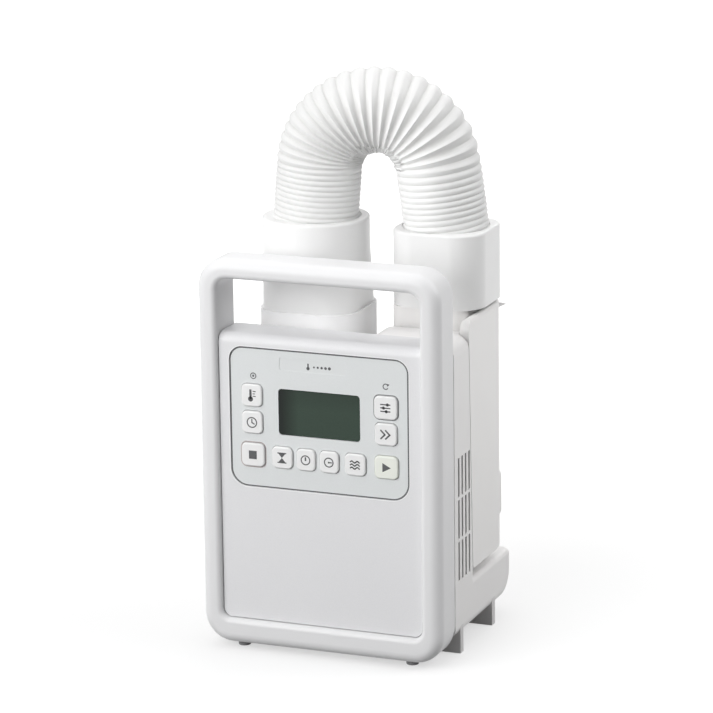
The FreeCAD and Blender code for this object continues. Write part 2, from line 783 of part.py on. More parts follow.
def cover_lugs():
    """Lugs on the rear wall that hold the filter cover's pins."""
    lugs = []
    for side in (-1, 1):
        near = OUTLET_X + side * (COVER_WIDTH / 2 + LUG_PLAY)
        x0 = min(near, near + side * LUG_WIDTH)
        barrel = bar_x(LUG_RADIUS, x0, x0 + LUG_WIDTH, COVER_AXIS_DEPTH, COVER_AXIS_HEIGHT)
        root = block(
            x0,
            x0 + LUG_WIDTH,
            BODY_INSIDE,
            COVER_AXIS_DEPTH,
            COVER_AXIS_HEIGHT - LUG_RADIUS,
            COVER_AXIS_HEIGHT + LUG_RADIUS,
        )
        lugs += [barrel, root]
    return lugs


def base_screw_places():
    """Sideways place and depth of the base plate's screws."""
    front = FRONT_LEG_DEPTH + LEG_THICKNESS + BASE_PLATE_MARGIN + BASE_SCREW_INSET
    rear = REAR_LEG_DEPTH - BASE_PLATE_MARGIN - BASE_SCREW_INSET
    half = BASE_PLATE_WIDTH / 2 - BASE_SCREW_INSET
    return [(side * half, depth) for side in (-1, 1) for depth in (front, rear)]


def base_plate_slab(inset, z0, z1):
    """Outline of the base plate, made smaller by inset."""
    half = BASE_PLATE_WIDTH / 2 - inset
    front = FRONT_LEG_DEPTH + LEG_THICKNESS + BASE_PLATE_MARGIN + inset
    rear = REAR_LEG_DEPTH - BASE_PLATE_MARGIN - inset
    return slab_z(rect(-half, half, front, rear), [BASE_PLATE_CORNER] * 4, z0, z1)


def body_shell():
    outer = fuse([case_form(0, RING_BACK), shoulder_form(0), base_form(0, RING_BACK)])
    saddle = block(
        DOCK_X - SADDLE_WIDTH,
        DOCK_X,
        SADDLE_FRONT,
        BODY_REAR - SADDLE_SETBACK,
        REAR_TOP - 3 * WALL,
        NECK_BOTTOM - FIT,
    )
    solid = fuse([outer, saddle] + cover_lugs()).cut(dock_form(0))
    lip = [edge for edge in edges_on(solid, "Z", SILL_TOP) if edge.BoundBox.XMin > BODY_HALF - FIT]
    solid = solid.makeFillet(SILL_LIP_ROUND, [max(lip, key=lambda edge: edge.Length)])
    open_front = RING_BACK - PAST
    low_space = base_form(WALL, open_front).common(block(-WIDTH, WIDTH, 0, BODY_INSIDE, 0, SILL_TOP))
    high_space = fuse([case_form(WALL, open_front), shoulder_form(WALL)])
    space = fuse([low_space, high_space]).cut(dock_form(WALL))
    shell = solid.cut(space)
    sill = block(-WIDTH, DOCK_X + PAST, BODY_REAR, DEPTH, SILL_FLOOR, SILL_TOP)
    shell = shell.cut(sill.common(base_form(WALL, RING_BACK)))
    shell = shell.cut(outlet_slab(FIT, REAR_TOP - 3 * WALL, FRAME_TOP))
    shell = shell.cut(vent_slots())
    inlet = bar_y(INLET_RADIUS + INLET_WALL + FIT, OUTLET_X, BODY_INSIDE - PAST, BODY_REAR + PAST, FAN_Z)
    shell = shell.cut(inlet)
    shell = shell.cut(bar_y(BUSH_RADIUS, BUSH_X, BODY_INSIDE - PAST, BODY_REAR + PAST, BUSH_Z))
    reach = COVER_WIDTH / 2 + LUG_PLAY + LUG_WIDTH + PAST
    pin_radius = COVER_PIN + COVER_PIN_PLAY
    pin_hole = bar_x(pin_radius, OUTLET_X - reach, OUTLET_X + reach, COVER_AXIS_DEPTH, COVER_AXIS_HEIGHT)
    shell = shell.cut(pin_hole)
    shell = shell.cut(base_plate_slab(BASE_PLATE_LAP, 0, FLOOR_TOP + PAST))
    for x, depth in base_screw_places():
        shell = shell.cut(bar_z(BASE_SCREW + SCREW_PLAY, x, depth, 0, FLOOR_TOP + PAST))
    return shell


def legs(depth):
    """A pair of legs whose tops follow the rounded underside of the body."""
    pair = []
    body = base_form(0, RING_BACK)
    for side in (-1, 1):
        x0 = min(side * BODY_HALF, side * (BODY_HALF - LEG_WIDTH))
        top = LEG_HEIGHT + BASE_ROUND
        leg = block(x0, x0 + LEG_WIDTH, depth, depth + LEG_THICKNESS, 0, top)
        pair.append(leg.cut(body))
    return Part.makeCompound(pair)


def base_plate():
    plate = base_plate_slab(0, LEG_HEIGHT - BASE_PLATE_THICKNESS, LEG_HEIGHT)
    front = FRONT_LEG_DEPTH + LEG_THICKNESS + BASE_PLATE_MARGIN + BASE_PLATE_LAP + BASE_SLOT_WIDTH
    rear = REAR_LEG_DEPTH - BASE_PLATE_MARGIN - BASE_PLATE_LAP - BASE_SLOT_WIDTH
    spread = BASE_PLATE_WIDTH - 2 * (BASE_PLATE_LAP + 2 * BASE_SLOT_WIDTH)
    for i in range(BASE_SLOTS):
        x = (i / (BASE_SLOTS - 1) - 0.5) * spread
        half = BASE_SLOT_WIDTH / 2
        plate = plate.cut(block(x - half, x + half, front, rear, 0, LEG_HEIGHT + PAST))
    for x, depth in base_screw_places():
        plate = plate.cut(bar_z(BASE_SCREW + SCREW_CLEARANCE, x, depth, 0, LEG_HEIGHT + PAST))
    return plate


def base_screws():
    screws = []
    under = LEG_HEIGHT - BASE_PLATE_THICKNESS
    for x, depth in base_screw_places():
        head = bar_z(BASE_SCREW_HEAD, x, depth, under - BASE_SCREW_HEAD_HEIGHT, under)
        shank = bar_z(BASE_SCREW, x, depth, under, FLOOR_TOP)
        screws.append(head.fuse(shank))
    return Part.makeCompound(screws)


# Hose path: straight leaning ends and one arc, in the upright plane through both sleeves
LEFT_END = Vec(CUFF_X, y_at(CUFF_DEPTH), 0)
RIGHT_END = Vec(COLLAR_X, y_at(COLLAR_DEPTH), 0)
ARCH_MIDDLE = (LEFT_END + RIGHT_END) * 0.5
ARCH_AHEAD = (RIGHT_END - LEFT_END).normalize()
ARCH_SIDE = ARCH_AHEAD.cross(Vec(0, 0, 1))
LEAN = math.radians(HOSE_LEAN)
HALF_SPAN = (RIGHT_END - LEFT_END).Length / 2
RISE_SHARE = (1 - math.sin(LEAN)) / math.cos(LEAN)
ARCH_START = (
    HEIGHT - HOSE_RADIUS - RISE_SHARE * (HALF_SPAN + HOSE_CROSSING * math.tan(LEAN))
) / (1 - RISE_SHARE * math.tan(LEAN))
START_HALF = HALF_SPAN - (ARCH_START - HOSE_CROSSING) * math.tan(LEAN)
ARCH_RADIUS = START_HALF / math.cos(LEAN)
ARCH_CENTRE_Z = ARCH_START - ARCH_RADIUS * math.sin(LEAN)
HOSE_STRAIGHT = (ARCH_START - HOSE_SEAT) / math.cos(LEAN)
RIBS_STRAIGHT = round(HOSE_STRAIGHT / LEG_RIB_PITCH)
RIBS_ARCH = round(ARCH_RADIUS * (math.pi - 2 * LEAN) / ARCH_RIB_PITCH)
SOCKET_REACH = CUFF_TOP - OUTLET_TOP


def plane_point(along, z):
    """Point of the hose plane."""
    return ARCH_MIDDLE + ARCH_AHEAD * along + Vec(0, 0, z)


def hose_stations():
    """Point, direction and radius of every circle along the hose."""
    root = HOSE_RADIUS - RIB_DEPTH
    steps = (0, RIB_VALLEY) + RIB_CREST
    radii = (root, root, HOSE_RADIUS, HOSE_RADIUS)
    stations = []
    runs = (RIBS_STRAIGHT, RIBS_ARCH, RIBS_STRAIGHT)
    for run, count in enumerate(runs):
        for rib in range(count):
            for step, radius in zip(steps, radii):
                stations.append((run, (rib + step) / count, radius))
    stations.append((2, 1.0, root))
    placed = []
    for run, share, radius in stations:
        if run == 1:
            angle = math.pi - LEAN - share * (math.pi - 2 * LEAN)
            along = ARCH_RADIUS * math.cos(angle)
            point = plane_point(along, ARCH_CENTRE_Z + ARCH_RADIUS * math.sin(angle))
            ahead = ARCH_AHEAD * math.sin(angle) - Vec(0, 0, math.cos(angle))
        else:
            climb = (share - 1) * HOSE_STRAIGHT if run == 0 else -share * HOSE_STRAIGHT
            side = -1 if run == 0 else 1
            along = side * (START_HALF - climb * math.sin(LEAN))
            point = plane_point(along, ARCH_START + climb * math.cos(LEAN))
            ahead = ARCH_AHEAD * math.sin(LEAN) - Vec(0, 0, side * math.cos(LEAN))
        placed.append((point, ahead, radius))
    return placed


def hose_circle(point, ahead, radius):
    """One circle of the hose, with its start on the steady side of the plane."""
    circle = Part.Circle(Vec(0, 0, 0), Vec(0, 0, 1), radius).toShape()
    turn = FreeCAD.Rotation(ARCH_SIDE, ahead.cross(ARCH_SIDE), ahead, "ZXY")
    circle.Placement = FreeCAD.Placement(point, turn)
    return Part.Wire([circle])


def hose():
    stations = hose_stations()
    outside = [hose_circle(point, ahead, radius) for point, ahead, radius in stations]
    inside = [hose_circle(point, ahead, radius - HOSE_WALL) for point, ahead, radius in stations]
    faces = Part.makeLoft(outside, False, True).Faces + Part.makeLoft(inside, False, True).Faces
    for end in (0, -1):
        faces.append(Part.makeFace([outside[end], inside[end]], "Part::FaceMakerBullseye"))
    skin = Part.makeShell(faces)
    skin.sewShape()
    solid = Part.makeSolid(skin)
    if solid.Volume < 0:
        solid.reverse()
    return solid


def hose_seat(side):
    """Foot of the hose at one end and the direction it leaves in."""
    along = side * (START_HALF + HOSE_STRAIGHT * math.sin(LEAN))
    foot = plane_point(along, ARCH_START - HOSE_STRAIGHT * math.cos(LEAN))
    up = Vec(0, 0, math.cos(LEAN)) - ARCH_AHEAD * (side * math.sin(LEAN))
    return foot, up


def hose_socket(side):
    """Leaning hole that the hose end stands in, with a smaller hole below its seat."""
    foot, up = hose_seat(side)
    socket = Part.makeCylinder(HOSE_RADIUS + HOSE_ROOM, SOCKET_REACH, foot, up)
    throat = HOSE_RADIUS - RIB_DEPTH - HOSE_WALL - SEAT_WIDTH / 4
    under = foot - up * (SOCKET_REACH / 2)
    return socket.fuse(Part.makeCylinder(throat, SOCKET_REACH, under, up))


def outlet_ring():
    return outlet_slab(0, OUTLET_BOTTOM, OUTLET_TOP).cut(outlet_slab(-OUTLET_WALL, 0, FRAME_TOP))


def sleeve_outline(x, depth, half_x, half_y, corner, z):
    """Rounded outline of a sleeve at one height."""
    corners = rect(x - half_x, x + half_x, depth - half_y, depth + half_y)
    return rounded_wire(corners, [corner] * 4, lambda p: Vec(p.x, y_at(p.y), z))


def cuff_form(inset, top):
    """Cuff that turns from a rounded square to a circle, made smaller by inset."""
    square = (OUTLET_WIDTH / 2 - CUFF_STEP - inset, OUTLET_LENGTH / 2 - CUFF_STEP - inset)
    corner = OUTLET_CORNER - CUFF_STEP - inset
    radius = CUFF_RADIUS - inset
    bend = OUTLET_TOP + CUFF_BLEND
    low = sleeve_outline(OUTLET_X, OUTLET_DEPTH, *square, corner, OUTLET_TOP)
    high = sleeve_outline(CUFF_X, CUFF_DEPTH, radius, radius, radius - CUFF_FLAT, bend)
    form = Part.makeLoft([low, high], True, True)
    if top > bend:
        form = form.fuse(Part.Face(high).extrude(Vec(0, 0, top - bend)))
    return form


def hose_cuff():
    foot = hose_seat(-1)[0]
    form = cuff_form(0, CUFF_TOP)
    form = form.makeFillet(RIM_ROUND, edges_on(form, "Z", CUFF_TOP))
    space_top = foot.z - SEAT_WIDTH - HOSE_RADIUS * math.sin(LEAN)
    space = cuff_form(WALL, OUTLET_TOP).common(block(-WIDTH, WIDTH, 0, DEPTH, 0, space_top))
    return form.cut(hose_socket(-1)).cut(space)


# Nozzle
def collar_slab(inset, z0, z1):
    """Rounded square outline of the nozzle collar."""
    half = COLLAR_SIZE / 2 - inset
    corners = rect(COLLAR_X - half, COLLAR_X + half, COLLAR_DEPTH - half, COLLAR_DEPTH + half)
    return slab_z(corners, [COLLAR_CORNER - inset] * 4, z0, z1)


def nozzle_collar():
    foot = hose_seat(1)[0]
    collar = collar_slab(0, COLLAR_BOTTOM, COLLAR_TOP)
    collar = collar.makeFillet(RIM_ROUND, edges_on(collar, "Z", COLLAR_TOP))
    space_top = foot.z - SEAT_WIDTH - HOSE_RADIUS * math.sin(LEAN)
    collar = collar.cut(hose_socket(1)).cut(collar_slab(WALL, COLLAR_BOTTOM - PAST, space_top))
    return collar


def ear_depths():
    """Front depth of each hinge ear."""
    return (NECK_FRONT + EAR_INSET, SHELL_REAR - EAR_INSET - EAR_WIDTH)


def nozzle_shell():
    outline = rect(NOZZLE_LEFT, NOZZLE_RIGHT, NOZZLE_FRONT, SHELL_REAR)
    body = slab_z(outline, [NOZZLE_CORNER] * 4, NOZZLE_BOTTOM, NECK_BOTTOM + NOZZLE_WALL)
    side = rect(NOZZLE_FRONT, SHELL_REAR, NOZZLE_BOTTOM, COLLAR_BOTTOM)
    body = body.common(slab_x(side, [NOZZLE_WALL, FLAP_REAR_CORNER, 0, 0], -WIDTH, WIDTH))
    neck_outline = rect(NECK_LEFT, NOZZLE_RIGHT, NECK_FRONT, SHELL_REAR)
    neck = slab_z(neck_outline, [NECK_CORNER] * 4, NECK_BOTTOM, COLLAR_BOTTOM)
    t = NOZZLE_WALL
    inside = rect(NOZZLE_LEFT + t, NOZZLE_RIGHT - t, NOZZLE_FRONT + t, SHELL_REAR - t)
    space = slab_z(inside, [NOZZLE_CORNER - t] * 4, NOZZLE_BOTTOM - PAST, NECK_BOTTOM)
    neck_inside = rect(NECK_LEFT + t, NOZZLE_RIGHT - t, NECK_FRONT + t, SHELL_REAR - t)
    neck_space = slab_z(neck_inside, [NECK_CORNER - t] * 4, NECK_BOTTOM + t, COLLAR_BOTTOM + PAST)
    link_outline = rect(NOZZLE_LEFT + t, NOZZLE_RIGHT - t, NECK_FRONT + t, SHELL_REAR - t)
    link = slab_z(link_outline, [NECK_CORNER - t] * 4, NECK_BOTTOM - PAST, NECK_BOTTOM + t + PAST)
    pieces = [body, neck]
    for depth in ear_depths():
        pieces.append(bar_y(EAR_RADIUS, HINGE_X, depth, depth + EAR_WIDTH, HINGE_Z))
        pieces.append(
            block(
                NOZZLE_RIGHT - t / 2,
                HINGE_X,
                depth,
                depth + EAR_WIDTH,
                HINGE_Z - EAR_RADIUS,
                HINGE_Z + EAR_ARM_RISE,
            )
        )
    shell = fuse(pieces).cut(space).cut(neck_space).cut(link)
    margin = AIR_WINDOW_MARGIN
    low = NOZZLE_BOTTOM + 3 * margin
    window = rect(NOZZLE_FRONT + margin, SHELL_REAR - margin, low, NECK_BOTTOM - margin)
    shell = shell.cut(slab_x(window, [NOZZLE_CORNER] * 4, NOZZLE_RIGHT - t - PAST, NOZZLE_RIGHT + FIT))
    return shell.cut(bar_y(PIN_RADIUS + PIN_PLAY, HINGE_X, 0, DEPTH, HINGE_Z))


def nozzle_grille():
    t = NOZZLE_WALL + FIT
    z0 = NOZZLE_BOTTOM + GRILLE_LIFT
    z1 = z0 + GRILLE_HEIGHT
    outline = rect(NOZZLE_LEFT + t, NOZZLE_RIGHT - t, NOZZLE_FRONT + t, SHELL_REAR - t)
    corner = NOZZLE_CORNER - t
    grille = slab_z(outline, [corner] * 4, z0, z1)
    t += GRILLE_RIM
    hole = rect(NOZZLE_LEFT + t, NOZZLE_RIGHT - t, NOZZLE_FRONT + t, SHELL_REAR - t)
    grille = grille.cut(slab_z(hole, [corner - GRILLE_RIM] * 4, z0 - PAST, z1 + PAST))
    bars = [grille]
    pitch = (SHELL_REAR - NOZZLE_FRONT - 2 * t) / (GRILLE_BARS + 1)
    for i in range(GRILLE_BARS):
        depth = NOZZLE_FRONT + t + (i + 1) * pitch - GRILLE_BAR / 2
        bars.append(block(NOZZLE_LEFT + t - PAST, NOZZLE_RIGHT - t + PAST, depth, depth + GRILLE_BAR, z0, z1))
    return fuse(bars)


def nozzle_flap():
    inner_wrap = NOZZLE_REAR - FLAP_SKIN
    wrap_end = BODY_HALF - FLAP_WRAP
    section = [
        (FLAP_INNER, FLAP_FRONT_TOP),
        (BODY_HALF, FLAP_FRONT_TOP),
        (BODY_HALF, NOZZLE_REAR),
        (wrap_end, NOZZLE_REAR),
        (wrap_end, inner_wrap),
        (FLAP_INNER, inner_wrap),
    ]
    bend = FLAP_WRAP_ROUND - FLAP_THICKNESS
    flap = slab_z(section, [0, 0, FLAP_WRAP_ROUND, 0, 0, bend], NOZZLE_BOTTOM, FLAP_TOP)
    side = [
        (FLAP_FRONT_BOTTOM, NOZZLE_BOTTOM),
        (NOZZLE_REAR, NOZZLE_BOTTOM),
        (NOZZLE_REAR, FLAP_TOP),
        (FLAP_FRONT_TOP, FLAP_TOP),
    ]
    corners = [FLAP_THICKNESS / 2, FLAP_REAR_CORNER, FLAP_TOP_CORNER, FLAP_TOP_CORNER]
    flap = flap.common(slab_x(side, corners, -WIDTH, WIDTH))
    wrap_top = HINGE_Z - FLAP_THICKNESS
    ahead = [
        (wrap_end, NOZZLE_BOTTOM),
        (BODY_HALF, NOZZLE_BOTTOM),
        (BODY_HALF, FLAP_TOP),
        (FLAP_INNER, FLAP_TOP),
        (FLAP_INNER, wrap_top),
        (wrap_end, wrap_top),
    ]
    flap = flap.common(slab_y(ahead, [0, 0, FLAP_EDGE_ROUND, FLAP_EDGE_ROUND, 0, 0], 0, DEPTH))
    arc_x = BODY_HALF - FLAP_WRAP_ROUND
    arc_depth = NOZZLE_REAR - FLAP_WRAP_ROUND
    out = (FLAP_WRAP_ROUND + FLAP_GRIP_PROUD - FLAP_GRIP_RADIUS) * math.cos(math.pi / 4)
    low = FLAP_GRIP_BOTTOM + FLAP_GRIP_RADIUS
    high = FLAP_GRIP_TOP - FLAP_GRIP_RADIUS
    grip = [bar_z(FLAP_GRIP_RADIUS, arc_x + out, arc_depth + out, low, high)]
    for z in (low, high):
        grip.append(Part.makeSphere(FLAP_GRIP_RADIUS, Vec(arc_x + out, y_at(arc_depth + out), z)))
    hollow = bar_z(FLAP_WRAP_ROUND - FLAP_SKIN, arc_x, arc_depth, NOZZLE_BOTTOM, FLAP_TOP)
    root = FLAP_WRAP_ROUND - FLAP_SKIN
    tab_low = FLAP_TOP - TAB_DROP
    outline = [
        Vec(root, 0, tab_low),
        Vec(root, 0, tab_low + TAB_HEIGHT),
        Vec(FLAP_WRAP_ROUND + TAB_LENGTH, 0, tab_low + TAB_HEIGHT / 2),
        Vec(root, 0, tab_low),
    ]
    tab = Part.Face(Part.makePolygon(outline)).extrude(Vec(0, TAB_WIDTH, 0))
    tab.translate(Vec(0, -TAB_WIDTH / 2, 0))
    tab.rotate(Vec(0, 0, 0), Vec(0, 0, 1), TAB_TURN)
    tab.translate(Vec(arc_x, y_at(arc_depth), 0))
    flap = flap.fuse(fuse(grip).cut(hollow)).fuse(tab)
    gap = FLAP_BACK_GAP
    for depth in ear_depths():
        back = depth + EAR_WIDTH + gap
        flap = flap.cut(bar_y(EAR_RADIUS + gap, HINGE_X, depth - gap, back, HINGE_Z))
        slot_low = HINGE_Z - EAR_RADIUS - FLAP_THICKNESS
        flap = flap.cut(block(NECK_LEFT, HINGE_X, depth - gap, back, slot_low, FLAP_TOP + PAST))
    first = FLAP_FRONT_TOP + PIN_END - FIT
    last = NOZZLE_REAR - PIN_END + FIT
    return flap.cut(bar_y(PIN_RADIUS + PIN_PLAY, HINGE_X, first, last, HINGE_Z))


def flap_pin():
    return bar_y(PIN_RADIUS, HINGE_X, FLAP_FRONT_TOP + PIN_END, NOZZLE_REAR - PIN_END, HINGE_Z)


# Fan, motor and heater
def scroll_form(inset, depth0, depth1, top):
    """Round fan case with its neck going up, made smaller by inset."""
    drum = bar_y(SCROLL_RADIUS - inset, OUTLET_X, depth0, depth1, FAN_Z)
    half = SCROLL_NECK / 2 - inset
    neck = block(OUTLET_X - half, OUTLET_X + half, depth0, depth1, FAN_Z, top)
    return drum.fuse(neck)


def scroll():
    case = scroll_form(0, SCROLL_FRONT, SCROLL_BACK, SCROLL_TOP)
    t = SCROLL_WALL
    case = case.cut(scroll_form(t, SCROLL_FRONT + t, SCROLL_BACK - t, SCROLL_TOP + PAST))
    bell = bar_y(INLET_RADIUS + INLET_WALL, OUTLET_X, SCROLL_BACK - t, BODY_INSIDE, FAN_Z)
    case = fuse([case, bell])
    case = case.cut(bar_y(INLET_RADIUS, OUTLET_X, SCROLL_BACK - t - PAST, DEPTH, FAN_Z))
    return case.cut(bar_y(SHAFT_HOLE, OUTLET_X, SCROLL_FRONT - PAST, SCROLL_FRONT + t + PAST, FAN_Z))


def scroll_front():
    return scroll().common(block(-WIDTH, WIDTH, 0, OUTLET_DEPTH, 0, HEIGHT))


def scroll_back():
    return scroll().common(block(-WIDTH, WIDTH, OUTLET_DEPTH, DEPTH, 0, HEIGHT))


def impeller_front():
    """Depth of the impeller's hub disc."""
    return OUTLET_DEPTH - IMPELLER_WIDTH / 2


def fan_impeller():
    front = impeller_front()
    back = front + IMPELLER_WIDTH
    disc = bar_y(IMPELLER_RADIUS, OUTLET_X, front, front + HUB_DISC, FAN_Z)
    hub = bar_y(HUB_RADIUS, OUTLET_X, front, OUTLET_DEPTH, FAN_Z)
    ring = bar_y(IMPELLER_RADIUS, OUTLET_X, back - HUB_DISC, back, FAN_Z)
    ring = ring.cut(bar_y(IMPELLER_RADIUS - BLADE_LENGTH / 2, OUTLET_X, front, back + PAST, FAN_Z))
    pieces = [disc, hub, ring]
    half = BLADE_THICKNESS / 2
    axis_point = Vec(OUTLET_X, 0, FAN_Z)
    middle = Vec(OUTLET_X, 0, FAN_Z + IMPELLER_RADIUS - BLADE_LENGTH / 2)
    for i in range(IMPELLER_BLADES):
        low = FAN_Z + IMPELLER_RADIUS - BLADE_LENGTH
        high = FAN_Z + IMPELLER_RADIUS - BLADE_THICKNESS
        blade = block(OUTLET_X - half, OUTLET_X + half, front + HUB_DISC / 2, back - HUB_DISC / 2, low, high)
        blade.rotate(middle, Vec(0, 1, 0), BLADE_LEAN)
        blade.rotate(axis_point, Vec(0, 1, 0), i * 360 / IMPELLER_BLADES)
        pieces.append(blade)
    return fuse(pieces).cut(bar_y(SHAFT_RADIUS, OUTLET_X, front - PAST, OUTLET_DEPTH + PAST, FAN_Z))


def motor_front():
    """Depth of the motor's front end."""
    return SCROLL_FRONT - MOTOR_LENGTH


def fan_motor():
    can = bar_y(MOTOR_RADIUS, OUTLET_X, motor_front(), SCROLL_FRONT, FAN_Z)
    can = can.makeFillet(MOTOR_ROUND, edges_on(can, "Y", y_at(motor_front())))
    return can.cut(bar_y(SHAFT_RADIUS + SHAFT_PLAY, OUTLET_X, motor_front() + MOTOR_ROUND, DEPTH, FAN_Z))


def motor_shaft():
    return bar_y(SHAFT_RADIUS, OUTLET_X, motor_front() + MOTOR_ROUND + FIT, OUTLET_DEPTH, FAN_Z)


def heater_duct():
    t = DUCT_WALL
    outside = outlet_slab(-t / 2, SCROLL_TOP, OUTLET_BOTTOM)
    inside = outlet_slab(-t * 3 / 2, SCROLL_TOP + t, OUTLET_BOTTOM + PAST)
    half_x = SCROLL_NECK / 2 - SCROLL_WALL
    half_y = SCROLL_DEPTH / 2 - SCROLL_WALL
    opening = block(
        OUTLET_X - half_x,
        OUTLET_X + half_x,
        OUTLET_DEPTH - half_y,
        OUTLET_DEPTH + half_y,
        SCROLL_TOP - PAST,
        SCROLL_TOP + t + PAST,
    )
    return outside.cut(inside).cut(opening)


def heater_core():
    t = DUCT_WALL
    low = SCROLL_TOP + t
    core = outlet_slab(-t * 3 / 2 - FIT, low, low + HEATER_HEIGHT)
    spread = OUTLET_WIDTH - 2 * (t * 3 / 2 + FIT + HEATER_RIM) - HEATER_SLOT
    half_y = OUTLET_LENGTH / 2 - t * 3 / 2 - FIT - HEATER_RIM - OUTLET_CORNER / 4
    for i in range(HEATER_SLOTS):
        x = OUTLET_X + (i / (HEATER_SLOTS - 1) - 0.5) * spread
        half = HEATER_SLOT / 2
        slot = block(x - half, x + half, OUTLET_DEPTH - half_y, OUTLET_DEPTH + half_y, low - PAST, OUTLET_TOP)
        core = core.cut(slot)
    return core


def duct_front():
    """Depth of the heater duct's front wall."""
    return OUTLET_DEPTH - OUTLET_LENGTH / 2 + DUCT_WALL / 2


def thermostat():
    z = SCROLL_TOP + THERMOSTAT_LIFT
    return bar_y(THERMOSTAT_RADIUS, OUTLET_X, duct_front() - THERMOSTAT_HEIGHT, duct_front(), z)


def thermal_fuse():
    depth = duct_front() - FUSE_RADIUS - FIT / 3
    half = FUSE_LENGTH / 2
    return bar_x(FUSE_RADIUS, OUTLET_X - half, OUTLET_X + half, depth, SCROLL_TOP + FUSE_LIFT)


# Power board
def power_board():
    bottom = FLOOR_TOP + FIT
    back = POWER_DEPTH + BOARD_THICKNESS
    return block(POWER_LEFT, POWER_RIGHT, POWER_DEPTH, back, bottom, bottom + POWER_HEIGHT)


def board_box(size, place):
    """Block that stands on the back of the power board."""
    width, depth, height = size
    x = POWER_LEFT + place[0]
    z = FLOOR_TOP + FIT + place[1]
    back = POWER_DEPTH + BOARD_THICKNESS
    return block(x, x + width, back, back + depth, z, z + height)


def capacitor():
    back = POWER_DEPTH + BOARD_THICKNESS
    x = POWER_LEFT + CAPACITOR_PLACE[0]
    z = FLOOR_TOP + FIT + CAPACITOR_PLACE[1]
    can = bar_y(CAPACITOR_RADIUS, x, back, back + CAPACITOR_LENGTH, z)
    return can.makeFillet(CAPACITOR_RADIUS / 8, edges_on(can, "Y", y_at(back + CAPACITOR_LENGTH)))


# Filter cover and cord bush
def filter_cover():
    half = COVER_WIDTH / 2
    top = COVER_BOTTOM + COVER_HEIGHT
    corners = rect(OUTLET_X - half, OUTLET_X + half, COVER_BOTTOM, top)
    foot = COVER_THICKNESS / 2
    cover = slab_y(corners, [foot, foot, COVER_CORNER, COVER_CORNER], COVER_INNER, COVER_OUTER)
    cover = cover.makeFillet(COVER_THICKNESS / 3, edges_on(cover, "Y", y_at(COVER_OUTER)))
    spread = COVER_HEIGHT - 2 * COVER_RIM - COVER_SLOT_HEIGHT
    for i in range(COVER_SLOTS):
        z = COVER_BOTTOM + COVER_RIM + i / (COVER_SLOTS - 1) * spread
        slot = rect(OUTLET_X - half + COVER_RIM, OUTLET_X + half - COVER_RIM, z, z + COVER_SLOT_HEIGHT)
        cover = cover.cut(slab_y(slot, [COVER_SLOT_ROUND] * 4, COVER_INNER - PAST, COVER_OUTER + PAST))
    reach = half + LUG_PLAY + LUG_WIDTH
    pin = bar_x(COVER_PIN, OUTLET_X - reach, OUTLET_X + reach, COVER_AXIS_DEPTH, COVER_AXIS_HEIGHT)
    return fuse([cover, pin])


def filter_mesh():
    left = OUTLET_X - MESH_WIDTH / 2
    bottom = COVER_BOTTOM + (COVER_HEIGHT - MESH_HEIGHT) / 2
    front = COVER_INNER - MESH_THICKNESS
    mesh = block(left, left + MESH_WIDTH, front, COVER_INNER, bottom, bottom + MESH_HEIGHT)
    step_x = (MESH_WIDTH - MESH_BAR) / MESH_COLUMNS
    step_z = (MESH_HEIGHT - MESH_BAR) / MESH_ROWS
    holes = []
    for row in range(MESH_ROWS):
        for column in range(MESH_COLUMNS):
            x = left + MESH_BAR + column * step_x
            z = bottom + MESH_BAR + row * step_z
            right = x + step_x - MESH_BAR
            holes.append(block(x, right, front - PAST, COVER_INNER + PAST, z, z + step_z - MESH_BAR))
    return mesh.cut(Part.makeCompound(holes))


def cord_bush():
    flange_back = BODY_REAR + BUSH_FLANGE_THICKNESS
    flange = bar_y(BUSH_FLANGE, BUSH_X, BODY_REAR, flange_back, BUSH_Z)
    flange = flange.makeFillet(BUSH_FLANGE_THICKNESS / 2, edges_on(flange, "Y", y_at(flange_back)))
    barrel = bar_y(BUSH_RADIUS, BUSH_X, BODY_INSIDE - WALL, BODY_REAR, BUSH_Z)
    return fuse([flange, barrel]).cut(bar_y(BUSH_BORE, BUSH_X, 0, DEPTH, BUSH_Z))


PARTS = {
    "front_frame": front_frame,
    "frame_ring": frame_ring,
    "frame_screws": frame_screws,
    "front_feet": front_feet,
    "front_panel": front_panel,
    "control_plate": control_plate,
    "display_window": display_window,
    "display_module": display_module,
    "sign_lens": sign_lens,
    "sign_lamp": sign_lamp,
    "control_board": control_board,
    "tact_switches": tact_switches,
    "board_screws": board_screws,
    "body_shell": body_shell,
    "base_plate": base_plate,
    "base_screws": base_screws,
    "outlet_ring": outlet_ring,
    "hose_cuff": hose_cuff,
    "hose": hose,
    "nozzle_collar": nozzle_collar,
    "nozzle_shell": nozzle_shell,
    "nozzle_grille": nozzle_grille,
    "nozzle_flap": nozzle_flap,
    "flap_pin": flap_pin,
    "scroll_front": scroll_front,
    "scroll_back": scroll_back,
    "fan_impeller": fan_impeller,
    "fan_motor": fan_motor,
    "motor_shaft": motor_shaft,
    "heater_duct": heater_duct,
    "heater_core": heater_core,
    "thermostat": thermostat,
    "thermal_fuse": thermal_fuse,
    "power_board": power_board,
    "capacitor": capacitor,
    "filter_cover": filter_cover,
    "filter_mesh": filter_mesh,
    "cord_bush": cord_bush,
}

for part_name, make in PARTS.items():
    save(part_name, make())
for key_name in KEY_LAYOUT:
    save(key_name, key(key_name))
save("front_legs", legs(FRONT_LEG_DEPTH))
save("rear_legs", legs(REAR_LEG_DEPTH))
save("transformer", board_box(TRANSFORMER, TRANSFORMER_PLACE))
save("relay", board_box(RELAY, RELAY_PLACE))
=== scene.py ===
import math

import bmesh
import bpy
from mathutils import Matrix, Vector


